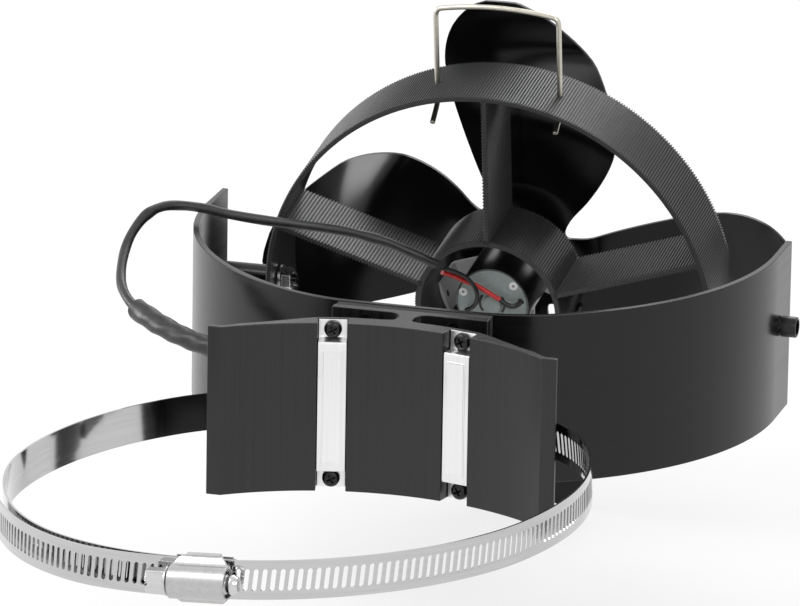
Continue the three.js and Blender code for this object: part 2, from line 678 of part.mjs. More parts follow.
const STRAIGHT_DEPTH = [[20.8, 0], [27, -1.7], [72, -1.7], [84, -0.7], [88.2, 0.6], [90, 2.6]];

function lookUp(table, r) {
  const last = table[table.length - 1];
  if (r <= table[0][0]) {
    return table[0][1];
  }
  for (let i = 1; i < table.length; i += 1) {
    const [r0, v0] = table[i - 1];
    const [r1, v1] = table[i];
    if (r <= r1) {
      return v0 + ((v1 - v0) * (r - r0)) / (r1 - r0);
    }
  }
  return last[1];
}

function bladeEdges(r) {
  let straight = lookUp(STRAIGHT_EDGE, r);
  let round = lookUp(ROUND_EDGE, r);
  const pitch = 360 / BLADES;
  if (r <= BLADE_ROOT) {
    straight = VALLEY_ANGLE;
    round = VALLEY_ANGLE + pitch;
  } else if (r < BLADE_VALLEY) {
    const reach = (BLADE_VALLEY - r) / (BLADE_VALLEY - BLADE_ROOT);
    const open = Math.sqrt(1 - reach * reach);
    straight = VALLEY_ANGLE + (straight - VALLEY_ANGLE) * open;
    round = VALLEY_ANGLE + pitch + (round - VALLEY_ANGLE - pitch) * open;
  }
  return { straight, round };
}

function propellerGeometry() {
  const radii = [
    BOSS_RADIUS + GAP, BLADE_ROOT, 21.3, 23, BLADE_VALLEY, 35, 43, 49, 53, 58, 63, 68, 73, 78, 83, 87, 89,
    BLADE_RADIUS,
  ];
  const columns = 6;
  const positions = [];
  const corner = (blade, i, j, face) => {
    const r = radii[i];
    const { straight, round } = bladeEdges(r);
    const t = j / columns;
    const clockwise = straight + (round - straight) * t;
    const angle = rad(90 + blade * (360 / BLADES) - clockwise);
    const lift = lookUp(STRAIGHT_DEPTH, r) * (1 - t) + lookUp(ROUND_DEPTH, r) * t;
    const depth = PROPELLER_DEPTH + lift + face * BLADE_SHEET;
    return new THREE.Vector3(r * Math.cos(angle), depth, r * Math.sin(angle));
  };
  const triangle = (a, b, c) => {
    if (a.distanceTo(b) > 1e-3 && b.distanceTo(c) > 1e-3 && a.distanceTo(c) > 1e-3) {
      positions.push(...a.toArray(), ...c.toArray(), ...b.toArray());
    }
  };
  const quad = (a, b, c, d) => {
    triangle(a, b, c);
    triangle(a, c, d);
  };
  const lastRow = radii.length - 1;
  for (let blade = 0; blade < BLADES; blade += 1) {
    for (let i = 0; i < lastRow; i += 1) {
      for (let j = 0; j < columns; j += 1) {
        const at = (di, dj, face) => corner(blade, i + di, j + dj, face);
        quad(at(0, 0, 0), at(1, 0, 0), at(1, 1, 0), at(0, 1, 0));
        quad(at(0, 0, 1), at(0, 1, 1), at(1, 1, 1), at(1, 0, 1));
        if (i === 0) {
          quad(at(0, 0, 0), at(0, 1, 0), at(0, 1, 1), at(0, 0, 1));
        }
      }
      if (radii[i] >= BLADE_ROOT) {
        const edge = (j, di, face) => corner(blade, i + di, j, face);
        quad(edge(0, 0, 0), edge(0, 0, 1), edge(0, 1, 1), edge(0, 1, 0));
        quad(edge(columns, 0, 0), edge(columns, 1, 0), edge(columns, 1, 1), edge(columns, 0, 1));
      }
    }
  }
  const geometry = new THREE.BufferGeometry();
  geometry.setAttribute('position', new THREE.Float32BufferAttribute(positions, 3));
  geometry.computeVertexNormals();
  return geometryOf(solid(geometry));
}

function buildPropeller() {
  addPiece(ring, 'propeller', propellerGeometry(), bladeBlack);
  const flangeFront = PROPELLER_DEPTH + BLADE_SHEET + PLAY;
  const bore = SHAFT_RADIUS + 0.06;
  const boss = turn([
    [bore, PROPELLER_DEPTH - 1], [BOSS_RADIUS, PROPELLER_DEPTH - 1], [BOSS_RADIUS, flangeFront],
    [BOSS_FLANGE, flangeFront], [BOSS_FLANGE, flangeFront + 1.2], [BOSS_RADIUS, flangeFront + 1.6],
    [BOSS_RADIUS, 51], [BOSS_RADIUS - 0.6, 51.6], [bore, 51.6], [bore, PROPELLER_DEPTH - 1],
  ], 16);
  const screwDepth = 48;
  const hole = rod(1.25, 6, 12).rotateX(Math.PI / 2).translate(0, screwDepth, BOSS_RADIUS);
  addPiece(ring, 'propeller_boss', cut(aboutRingAxis(boss), hole), brass);
  const setScrew = rod(1.1, 2.6, 12).rotateX(Math.PI / 2).translate(0, screwDepth, BOSS_RADIUS - 1.4);
  addPiece(ring, 'boss_set_screw', setScrew, darkSteel);
}

// Bail handle: one bent wire whose ends hook forward under the ring
function buildBail() {
  const middle = RING_DEPTH / 2;
  const at = (x, z, forward = 0) => new THREE.Vector3(BAIL_X + x, middle - forward, z);
  const path = new THREE.CurvePath();
  const bend = 3;
  const half = BAIL_HALF;
  const straight = (a, b) => path.add(new THREE.LineCurve3(a, b));
  const curve = (a, b, c) => path.add(new THREE.QuadraticBezierCurve3(a, b, c));
  const hook = [[BAIL_FOOT, 0], [BAIL_FOOT - 2.2, 0.2], [BAIL_FOOT - 3.4, 2.6], [BAIL_FOOT - 6.2, 7]];
  const left = hook.map(([z, forward]) => at(-half, z, forward));
  const right = hook.map(([z, forward]) => at(half, z, forward));
  straight(left[3], left[2]);
  curve(left[2], left[1], left[0]);
  straight(left[0], at(-half, BAIL_TOP - bend));
  curve(at(-half, BAIL_TOP - bend), at(-half, BAIL_TOP), at(-half + bend, BAIL_TOP + 0.2));
  curve(at(-half + bend, BAIL_TOP + 0.2), at(0, BAIL_PEAK + 1.6), at(half - bend, BAIL_TOP + 0.2));
  curve(at(half - bend, BAIL_TOP + 0.2), at(half, BAIL_TOP), at(half, BAIL_TOP - bend));
  straight(at(half, BAIL_TOP - bend), right[0]);
  curve(right[0], right[1], right[2]);
  straight(right[2], right[3]);
  addPiece(ring, 'bail_handle', pipe(path, BAIL_WIRE, 42, 8), stainless);
}

// Clamp band, drawn round the Z axis and then rolled and moved to its loop
const clamp = new THREE.Group();
clamp.position.set(LOOP_X, LOOP_Y, LOOP_Z);
clamp.rotation.set(rad(LOOP_PITCH), rad(LOOP_ROLL), 0);
part.add(clamp);

const TONGUE_ANGLE = 276;
const TAIL_TURN = 156;
const SLOTS_FROM = 48;

// The band's radius by angle, from the tongue through the saddle to the tail's end.
// It stands off the saddle's wings, and lies outside its own tongue at the housing.
const BAND_LINE = [
  [276, 94], [262, 94], [248, 93.5], [234, 92.4], [220, 90.4], [208, 88.8], [196, 88.2], [184, 88.4],
  [172, 88.7], [160, 89.6], [148, 91], [136, 92.6], [124, 93.8], [110, 93.2], [97, 91.6], [84, 90.6],
  [70, 91.4], [58, 92.6], [46, 93.2], [34, 92.5], [22, 91], [8, 90.2], [-6, 90.3], [-18, 91], [-32, 92.7],
  [-46, 93.8], [-60, 94.5], [-74, 95], [-88, 95], [-98, 95.1], [-106, 95.8], [-114, 96.3], [-123, 95.5],
  [-135, 93.9], [-145, 92.4], [-156, 91.4],
];

function bandRadius(angle) {
  const last = BAND_LINE.length - 1;
  const i = Math.min(Math.max(BAND_LINE.findIndex(([a]) => a <= angle), 1), last);
  const slope = (k) => {
    const [a0, r0] = BAND_LINE[Math.max(k - 1, 0)];
    const [a1, r1] = BAND_LINE[Math.min(k + 1, last)];
    return (r1 - r0) / (a1 - a0);
  };
  const [start, r0] = BAND_LINE[i - 1];
  const [end, r1] = BAND_LINE[i];
  const span = end - start;
  const t = (angle - start) / span;
  const rise = t * t * (3 - 2 * t);
  const ease = span * (t * (1 - t) ** 2 * slope(i - 1) - t * t * (1 - t) * slope(i));
  return r0 + (r1 - r0) * rise + ease;
}

function bandStations() {
  const stations = [];
  const coarse = 5;
  let angle = TONGUE_ANGLE;
  while (angle > SLOTS_FROM + coarse) {
    stations.push({ angle, slot: false });
    angle -= coarse;
  }
  const pitch = THREE.MathUtils.radToDeg(BAND_PITCH / LOOP_RADIUS);
  const slot = THREE.MathUtils.radToDeg(BAND_SLOT[0] / LOOP_RADIUS);
  angle = SLOTS_FROM;
  while (angle > -TAIL_TURN + pitch) {
    stations.push({ angle, slot: true });
    stations.push({ angle: angle - slot, slot: false });
    angle -= pitch;
  }
  stations.push({ angle: -TAIL_TURN, slot: false });
  return stations;
}

function bandGeometry() {
  const stations = bandStations();
  const half = BAND_WIDTH / 2;
  const slotHalf = BAND_SLOT[1] / 2;
  const levels = [-half, -slotHalf, slotHalf, half];
  const positions = [];
  const point = (station, level, face) => {
    const angle = rad(station.angle);
    const radius = bandRadius(station.angle) + (face - 0.5) * BAND_SHEET;
    return [radius * Math.cos(angle), radius * Math.sin(angle), level];
  };
  const quad = (a, b, c, d) => {
    positions.push(...a, ...b, ...c, ...a, ...c, ...d);
  };
  for (let i = 0; i < stations.length - 1; i += 1) {
    const near = stations[i];
    const far = stations[i + 1];
    const ends = [];
    if (i === 0) {
      ends.push([near, true]);
    }
    if (i === stations.length - 2) {
      ends.push([far, false]);
    }
    for (let row = 0; row < 3; row += 1) {
      const low = levels[row];
      const high = levels[row + 1];
      if (!(near.slot && row === 1)) {
        quad(point(near, low, 1), point(near, high, 1), point(far, high, 1), point(far, low, 1));
        quad(point(near, low, 0), point(far, low, 0), point(far, high, 0), point(near, high, 0));
      }
      for (const [station, first] of ends) {
        const wall = [
          point(station, low, 0), point(station, high, 0), point(station, high, 1), point(station, low, 1),
        ];
        quad(...(first ? wall : wall.reverse()));
      }
    }
    quad(point(near, half, 0), point(far, half, 0), point(far, half, 1), point(near, half, 1));
    quad(point(near, -half, 0), point(near, -half, 1), point(far, -half, 1), point(far, -half, 0));
    if (near.slot) {
      const s = slotHalf;
      quad(point(near, s, 0), point(near, s, 1), point(far, s, 1), point(far, s, 0));
      quad(point(near, -s, 0), point(far, -s, 0), point(far, -s, 1), point(near, -s, 1));
      quad(point(near, -s, 0), point(near, -s, 1), point(near, s, 1), point(near, s, 0));
      quad(point(far, -s, 0), point(far, s, 0), point(far, s, 1), point(far, -s, 1));
    }
  }
  const geometry = new THREE.BufferGeometry();
  geometry.setAttribute('position', new THREE.Float32BufferAttribute(positions, 3));
  geometry.computeVertexNormals();
  return geometryOf(solid(geometry));
}

// Housing and worm, drawn with their length along X and the loop's centre far below in -Y,
// then turned to their place on the loop
function ontoLoop(geometry) {
  return geometry.translate(0, LOOP_RADIUS, 0).rotateZ(rad(HOUSING_ANGLE - 90));
}

function buildClamp() {
  addPiece(clamp, 'clamp_band', bandGeometry(), stainless);

  const drumRadius = WORM_RADIUS + GAP + 0.9;
  const base = box(HOUSING_LENGTH, 4.85, 2 * HOUSING_HALF, 0, 0.675, 0);
  const drum = rodX(drumRadius, -HOUSING_LENGTH / 2, HOUSING_LENGTH / 2, WORM_OFFSET, 0, 24);
  const cheek = new THREE.Shape([
    [-HOUSING_HALF + 0.6, 1.5], [HOUSING_HALF - 0.6, 1.5], [drumRadius - 1, WORM_OFFSET + 1.5],
    [-drumRadius + 1, WORM_OFFSET + 1.5],
  ].map(([z, y]) => new THREE.Vector2(-z, y)));
  const cheeks = raise(cheek, -HOUSING_LENGTH / 2, HOUSING_LENGTH / 2).rotateY(Math.PI / 2);
  const housing = cut(
    join(base, drum, cheeks),
    box(HOUSING_LENGTH + 4, 3.35, BAND_WIDTH + 0.8, 0, 0.525, 0),
    rodX(WORM_RADIUS + GAP, -HOUSING_LENGTH, HOUSING_LENGTH, WORM_OFFSET, 0, 24),
  );
  addPiece(clamp, 'clamp_housing', ontoLoop(housing), stainless);

  const hexEnd = -HOUSING_LENGTH / 2 - 0.5;
  const hexLength = 6.4;
  const threads = 4;
  const worm = [[0, hexEnd]];
  const threadLength = HOUSING_LENGTH + 0.4;
  for (let i = 0; i < threads; i += 1) {
    const start = hexEnd + (threadLength * i) / threads;
    const step = threadLength / threads;
    worm.push([WORM_RADIUS - 0.9, start]);
    worm.push([WORM_RADIUS, start + step * 0.45], [WORM_RADIUS, start + step * 0.6]);
  }
  const tip = hexEnd + threadLength;
  worm.push([WORM_RADIUS - 0.9, tip], [2.6, tip + 0.3], [3, tip + 2], [2.2, tip + 3.4], [0, tip + 3.9]);
  const screwBody = turn(worm, 14).rotateY(Math.PI / 2).translate(0, WORM_OFFSET, 0);
  const hex = rodX(WORM_HEX / Math.sqrt(3), hexEnd - hexLength, hexEnd + 0.1, WORM_OFFSET, 0, 6);
  const collar = rodX(4.5, hexEnd - 0.9, hexEnd - 0.1, WORM_OFFSET, 0, 16);
  const slot = box(2.4, 10, 1.3, hexEnd - hexLength, WORM_OFFSET, 0);
  const screw = cut(join(screwBody, hex, collar), slot).rotateY(Math.PI);
  addPiece(clamp, 'worm_screw', ontoLoop(screw), stainless);
}

// Lead: two short module wires, a heat-shrink joint, a long sleeve, and the motor's two wires.
// The routes are chosen by hand; scene.py repeats them.
const through = (points) => (
  new THREE.CatmullRomCurve3(points.map(([x, y, z]) => new THREE.Vector3(x, y, z)), false, 'centripetal')
);
const MODULE_RED = [[-20.8, 20.3, 9.3], [-23.5, 20.3, 9.3], [-26.5, 19.8, 9.2], [-29, 19.1, 9]];
const MODULE_BLACK = [[-20.8, 20.3, 6.7], [-23.5, 20.3, 6.7], [-26.5, 19.8, 6.9], [-29, 19.1, 7.2]];
const SHRINK_ROUTE = [
  [-29.6, 18.9, 8.1], [-40, 18.7, 7.6], [-52, 19, 7.4], [-62, 20.2, 7.7], [-74, 24.2, 9], [-86, 31, 10.8],
  [-97, 39.6, 12.8],
];
const SLEEVE_ROUTE = [
  [-97.5, 40.1, 12.9], [-101, 44, 14.2], [-105.3, 51, 16.4], [-108.4, 60, 19.4], [-110.2, 69, 23.2],
  [-110, 77, 27.2], [-107.6, 84, 30.6], [-103.6, 90, 32.2], [-98, 94, 32], [-91, 96, 31], [-84.4, 96.4, 29.9],
  [-67.7, 96.4, 28.7], [-49.5, 96.4, 28], [-40, 97, 27], [-32.5, 98.2, 25.2], [-25.5, 100, 22.4],
  [-20, 101.8, 19.8], [-15.8, 104.2, 17.2],
];
const RED_ROUTE = [
  [-14.2, -2.9, 13.4], [-11.4, 0.8, 10.8], [-8.3, 2.8, 8.4], [-4.6, 3.4, 6.9], [-0.6, 3.4, 4.8],
  [3.6, 3.6, 2.3],
];
const BLACK_ROUTE = [
  [-13.3, -3.2, 15.1], [-10, -0.6, 12.8], [-7.2, 1.2, 10.4], [-4.9, 1.5, 7.6], [-3.9, 1.6, 4.6],
  [-4.4, 2, 1.6], [-6, 3, -0.8], [-8.4, 4, -2.4],
];

function buildLead() {
  addPiece(part, 'module_wire_red', pipe(through(MODULE_RED), WIRE_RADIUS, 4), wireRed);
  addPiece(part, 'module_wire_black', pipe(through(MODULE_BLACK), WIRE_RADIUS, 4), wireBlack);
  addPiece(part, 'lead_heat_shrink', pipe(through(SHRINK_ROUTE), SHRINK_RADIUS, 12, 10), cableBlack);
  addPiece(part, 'lead_sleeve', pipe(through(SLEEVE_ROUTE), SLEEVE_RADIUS, 38), cableBlack);
  addPiece(ring, 'motor_wire_red', pipe(through(RED_ROUTE), WIRE_RADIUS, 14), wireRed);
  addPiece(ring, 'motor_wire_black', pipe(through(BLACK_ROUTE), WIRE_RADIUS, 18), wireBlack);
}

buildSaddle();
buildMagnets();
buildStack();
buildShell();
buildPivot();
buildRing();
buildMotor();
buildBracket();
buildPropeller();
buildBail();
buildClamp();
buildLead();

export default part;
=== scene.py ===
"""Looks of the stove fan: camera, cords, detailed pieces and materials, in metres and in the CAD frame.
Lengths in the shape functions are in millimetres, as in the CAD source."""
import json
import math

import bmesh
import bpy
from mathutils import Matrix, Vector

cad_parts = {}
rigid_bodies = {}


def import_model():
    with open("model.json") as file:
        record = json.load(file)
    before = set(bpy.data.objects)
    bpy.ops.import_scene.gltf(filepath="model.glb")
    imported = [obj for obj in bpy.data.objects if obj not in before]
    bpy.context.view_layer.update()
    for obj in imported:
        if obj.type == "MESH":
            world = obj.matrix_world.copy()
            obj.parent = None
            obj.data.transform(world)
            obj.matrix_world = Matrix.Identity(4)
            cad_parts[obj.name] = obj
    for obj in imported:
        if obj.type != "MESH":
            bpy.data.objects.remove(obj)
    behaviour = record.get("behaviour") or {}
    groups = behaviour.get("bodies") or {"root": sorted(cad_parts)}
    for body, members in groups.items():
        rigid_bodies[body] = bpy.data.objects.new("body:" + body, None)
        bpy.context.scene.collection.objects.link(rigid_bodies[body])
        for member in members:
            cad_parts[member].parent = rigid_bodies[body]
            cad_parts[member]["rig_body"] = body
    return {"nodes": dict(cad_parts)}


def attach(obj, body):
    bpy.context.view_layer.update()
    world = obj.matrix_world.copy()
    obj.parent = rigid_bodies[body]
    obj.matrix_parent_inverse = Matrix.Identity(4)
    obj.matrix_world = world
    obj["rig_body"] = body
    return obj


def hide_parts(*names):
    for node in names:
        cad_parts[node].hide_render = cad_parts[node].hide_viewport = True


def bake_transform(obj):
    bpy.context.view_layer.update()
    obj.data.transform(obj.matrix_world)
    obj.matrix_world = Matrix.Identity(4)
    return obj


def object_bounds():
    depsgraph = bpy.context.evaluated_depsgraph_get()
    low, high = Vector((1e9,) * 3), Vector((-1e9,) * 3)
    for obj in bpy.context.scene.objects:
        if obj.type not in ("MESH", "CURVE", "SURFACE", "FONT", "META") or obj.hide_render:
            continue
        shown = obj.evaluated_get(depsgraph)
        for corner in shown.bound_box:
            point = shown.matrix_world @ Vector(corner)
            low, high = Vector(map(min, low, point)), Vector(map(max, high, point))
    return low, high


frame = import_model()
cad_low, cad_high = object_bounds()
nodes = frame["nodes"]
MM = 0.001

# ---------------------------------------------------------------- camera
AZIMUTH, ELEVATION, ROLL = math.radians(14.853), math.radians(16.772), math.radians(1.124)
TARGET = Vector((0, 0.1105, 0.0013))
DISTANCE = 2.983
FOCUS_PIXELS = 9229
PHOTO_WIDTH, PHOTO_HEIGHT = 800, 606
TARGET_PIXEL = (487.76 - PHOTO_WIDTH / 2, 310.59 - PHOTO_HEIGHT / 2)
SENSOR_WIDTH = 36


def make_camera():
    """The photo's camera, its lens axis off the target by as many pixels as in the photo."""
    sa, ca = math.sin(AZIMUTH), math.cos(AZIMUTH)
    se, ce = math.sin(ELEVATION), math.cos(ELEVATION)
    forward = Vector((-sa * ce, ca * ce, -se))
    right = Vector((ca, sa, 0))
    up = right.cross(forward)
    cr, sr = math.cos(ROLL), math.sin(ROLL)
    across, upward = cr * right + sr * up, cr * up - sr * right
    straight = Matrix((across, upward, -forward)).transposed()
    seen = Vector((TARGET_PIXEL[0] / FOCUS_PIXELS, -TARGET_PIXEL[1] / FOCUS_PIXELS, -1)).normalized()
    aim = seen.rotation_difference(Vector((0, 0, -1))).to_matrix()
    data = bpy.data.cameras.new("camera")
    data.sensor_width = SENSOR_WIDTH
    data.lens = FOCUS_PIXELS * SENSOR_WIDTH / PHOTO_WIDTH
    data.clip_start, data.clip_end = 0.1, 20
    camera = bpy.data.objects.new("camera", data)
    camera.matrix_world = Matrix.Translation(TARGET - DISTANCE * forward) @ (straight @ aim).to_4x4()
    bpy.context.scene.collection.objects.link(camera)
    bpy.context.scene.camera = camera


make_camera()

# ---------------------------------------------------------------- frames of the CAD groups
RING = Matrix.Translation((0, 110.5, 1.3)) @ Matrix.Rotation(math.radians(8.26), 4, "X")
CLAMP = (
    Matrix.Translation((-10, -78, -2.63)) @ Matrix.Rotation(math.radians(-0.9), 4, "X")
    @ Matrix.Rotation(math.radians(-2.7), 4, "Y")
)
HOUSING_RADIUS = 94
ON_LOOP = CLAMP @ Matrix.Rotation(math.pi, 4, "Z") @ Matrix.Translation((0, HOUSING_RADIUS, 0))
PIVOT = Vector((0, 120.5, 2.5))
REST = Matrix.Identity(4)
# turns of a shape raised along Z, so that it points back, to the front or to the right
TO_BACK = Matrix.Rotation(-math.pi / 2, 4, "X")
TO_FRONT = Matrix.Rotation(math.pi / 2, 4, "X")
TO_RIGHT = Matrix.Rotation(math.pi / 2, 4, "Y")
RING_AXIS = RING @ TO_BACK

# ---------------------------------------------------------------- sizes that several pieces share
SIDES = (("left", -1), ("right", 1))
FLUE = 85
HALF_HEIGHT = 27.5
SLOT_ANGLE = 13.6
COVER_SCREW_Z = 24.4
STACK_SCREW_X, STACK_SCREW_Z = 14, 23.9
SCREW_HOLE = 1.75
PIVOT_HOLE = 2.25
RING_RADIUS = 75
LIP_X = 95.8
BAIL_X, BAIL_HALF, BAIL_Y = 1.1, 20.4, 14.5
WORM_LIFT = 5.6


def in_slot(side):
    """The frame of a magnet slot: its Y axis points from the flue's axis through the slot."""
    return Matrix.Translation((0, -FLUE, 0)) @ Matrix.Rotation(math.radians(-side * SLOT_ANGLE), 4, "Z")


# ---------------------------------------------------------------- shapes: lists of points and faces
def joined(*shapes):
    points, faces = [], []
    for some_points, some_faces in shapes:
        start = len(points)
        points += some_points
        faces += [tuple(i + start for i in face) for face in some_faces]
    return points, faces


def moved(shape, matrix):
    return [tuple(matrix @ Vector(p)) for p in shape[0]], shape[1]


def grid(rows, closed_rows=False, caps=False):
    """Faces over rows of points, each row a closed line as long as the others."""
    count, width = len(rows), len(rows[0])
    faces = []
    for i in range(count if closed_rows else count - 1):
        for j in range(width):
            a, b = i * width + j, i * width + (j + 1) % width
            c, d = ((i + 1) % count) * width + (j + 1) % width, ((i + 1) % count) * width + j
            faces.append((a, b, c, d))
    if caps:
        faces.append(tuple(range(width))[::-1])
        faces.append(tuple(range((count - 1) * width, count * width)))
    return [p for row in rows for p in row], faces


def prism(outline, low, high):
    rows = [[(x, y, z) for x, y in outline] for z in (low, high)]
    return grid(rows, caps=True)


def strip(outside, inside, low, high, closed=False):
    """A wall between two lines with as many points each, raised along Z."""
    rows = [[(*o, low), (*o, high), (*i, high), (*i, low)] for o, i in zip(outside, inside)]
    shape = grid(rows, closed_rows=closed)
    if not closed:
        last = 4 * (len(rows) - 1)
        shape = (shape[0], shape[1] + [(3, 2, 1, 0), (last, last + 1, last + 2, last + 3)])
    return shape


def lathe(profile, segments):
    """A closed profile of (radius, height) turned round Z."""
    rows = []
    for k in range(segments):
        angle = 2 * math.pi * k / segments
        rows.append([(r * math.cos(angle), r * math.sin(angle), h) for r, h in profile])
    return grid(rows, closed_rows=True)


def rod(radius, low, high, segments):
    return lathe([(0, low), (radius, low), (radius, high), (0, high)], segments)


def bore(radius, start, end, segments, turn, place):
    """A rod that cuts a hole: turned, then moved to its place."""
    return moved(moved(rod(radius, start, end, segments), turn), place)


CORNERS = [(-1, -1), (1, -1), (1, 1), (-1, 1)]


def block(width, depth, height, x=0, y=0, z=0):
    outline = [(x + a * width / 2, y + b * depth / 2) for a, b in CORNERS]
    return prism(outline, z - height / 2, z + height / 2)


def arc(x, y, radius, start, end, steps):
    points = []
    for k in range(steps + 1):
        angle = math.radians(start + (end - start) * k / steps)
        points.append((x + radius * math.cos(angle), y + radius * math.sin(angle)))
    return points


def spline(points, per_span=8):
    """A centripetal Catmull-Rom line through the points, as in the CAD source."""
    given = [Vector(p) for p in points]
    first, last = 2 * given[0] - given[1], 2 * given[-1] - given[-2]
    given = [first, *given, last]
    line = []
    for p0, p1, p2, p3 in zip(given, given[1:], given[2:], given[3:]):
        steps = [max((b - a).length ** 0.5, 1e-4) for a, b in ((p0, p1), (p1, p2), (p2, p3))]
        t1 = steps[0]
        t2 = t1 + steps[1]
        t3 = t2 + steps[2]
        for k in range(per_span):
            t = t1 + (t2 - t1) * k / per_span
            a1 = p0 * ((t1 - t) / t1) + p1 * (t / t1)
            a2 = p1 * ((t2 - t) / (t2 - t1)) + p2 * ((t - t1) / (t2 - t1))
            a3 = p2 * ((t3 - t) / (t3 - t2)) + p3 * ((t - t2) / (t3 - t2))
            b1 = a1 * ((t2 - t) / t2) + a2 * (t / t2)
            b2 = a2 * ((t3 - t) / (t3 - t1)) + a3 * ((t - t1) / (t3 - t1))
            line.append(b1 * ((t2 - t) / (t2 - t1)) + b2 * ((t - t1) / (t2 - t1)))
    line.append(given[-2])
    return line


def tube(line, radius, sides=16, swell=None):
    """A closed tube along a line; swell(share, turn) changes its radius."""
    line = [Vector(p) for p in line]
    tangents = [(b - a).normalized() for a, b in zip(line, line[1:])]
    tangents.append(tangents[-1])
    normal = tangents[0].orthogonal().normalized()
    rows = []
    for k, point in enumerate(line):
        tangent = (tangents[max(k - 1, 0)] + tangents[k]).normalized()
        normal = (normal - normal.dot(tangent) * tangent).normalized()
        other = tangent.cross(normal)
        row = []
        for s in range(sides):
            turn = 2 * math.pi * s / sides
            r = radius * (swell(k / (len(line) - 1), turn) if swell else 1)
            row.append(tuple(point + r * (math.cos(turn) * normal + math.sin(turn) * other)))
        rows.append(row)
    return grid(rows, caps=True)


def smooth(x):
    """An eased step from 0 to 1."""
    x = min(1, max(0, x))
    return x * x * (3 - 2 * x)


# ---------------------------------------------------------------- pieces
WELD = 1e-6
# degrees from which an edge stays hard, for turned pieces and for bent sheet and extrusions
SHARP, CREASE = 32, 24


def mesh_object(name, shape, place=REST, weld=WELD, sharp=SHARP):
    """A piece from a shape in millimetres; edges steeper than sharp degrees stay hard."""
    data = bpy.data.meshes.new(name)
    matrix = Matrix.Scale(MM, 4) @ place
    data.from_pydata([matrix @ Vector(p) for p in shape[0]], [], shape[1])
    tidy(data, weld, sharp)
    made = bpy.data.objects.new(name, data)
    bpy.context.scene.collection.objects.link(made)
    return made


def tidy(data, weld, sharp, flat=None):
    """Welds points, turns the faces outwards and marks hard edges; flat merges even faces."""
    work = bmesh.new()
    work.from_mesh(data)
    bmesh.ops.remove_doubles(work, verts=work.verts, dist=weld)
    bmesh.ops.dissolve_degenerate(work, edges=work.edges, dist=1e-7)
    if flat:
        bmesh.ops.dissolve_limit(work, angle_limit=math.radians(flat), verts=work.verts, edges=work.edges)
    bmesh.ops.recalc_face_normals(work, faces=work.faces)
    for face in work.faces:
        face.smooth = True
    for edge in work.edges:
        edge.smooth = len(edge.link_faces) == 2 and edge.calc_face_angle(0) < math.radians(sharp)
    work.to_mesh(data)
    work.free()


def bevel(made, width, angle, segments=2):
    modifier = made.modifiers.new("edges", "BEVEL")
    modifier.width = width * MM
    modifier.segments = segments
    modifier.limit_method = "ANGLE"
    modifier.angle_limit = math.radians(angle)
    modifier.harden_normals = True
    modifier.use_clamp_overlap = True
    return made


def cut(made, *shapes, place=REST, sharp=SHARP):
    """Takes the shapes out of a piece."""
    tool = mesh_object("tool", joined(*shapes), place)
    modifier = made.modifiers.new("cut", "BOOLEAN")
    modifier.object = tool
    modifier.operation = "DIFFERENCE"
    modifier.solver = "EXACT"
    modifier.use_self = True
    bpy.context.view_layer.update()
    done = bpy.data.meshes.new_from_object(made.evaluated_get(bpy.context.evaluated_depsgraph_get()))
    made.modifiers.clear()
    made.data = done
    bpy.data.objects.remove(tool)
    tidy(done, WELD, sharp)


def join_into(made, other):
    """Adds the other piece's faces to a piece."""
    work = bmesh.new()
    work.from_mesh(made.data)
    work.from_mesh(other.data)
    work.to_mesh(made.data)
    work.free()
    bpy.data.objects.remove(other)


def own(made, look, body, *replaced, slot=None):
    """Gives a piece its material, body and replaced CAD nodes; the slot argument is not used."""
    made.data.materials.clear()
    made.data.materials.append(materials[look])
    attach(made, body)
    if replaced:
        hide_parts(*replaced)


def body_of(node):
    return nodes[node]["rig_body"]


def refined(node, look, width, angle=SHARP, slot=None):
    """A copy of a CAD node's shape with its triangles merged and its edges broken."""
    data = nodes[node].data.copy()
    data.name = node + "_piece"
    if data.has_custom_normals:
        data.attributes.remove(data.attributes["custom_normal"])
    tidy(data, 2 * WELD, angle, flat=0.5)
    made = bpy.data.objects.new(node + "_piece", data)
    bpy.context.scene.collection.objects.link(made)
    if width:
        bevel(made, width, angle)
    own(made, look, body_of(node), node, slot=slot)


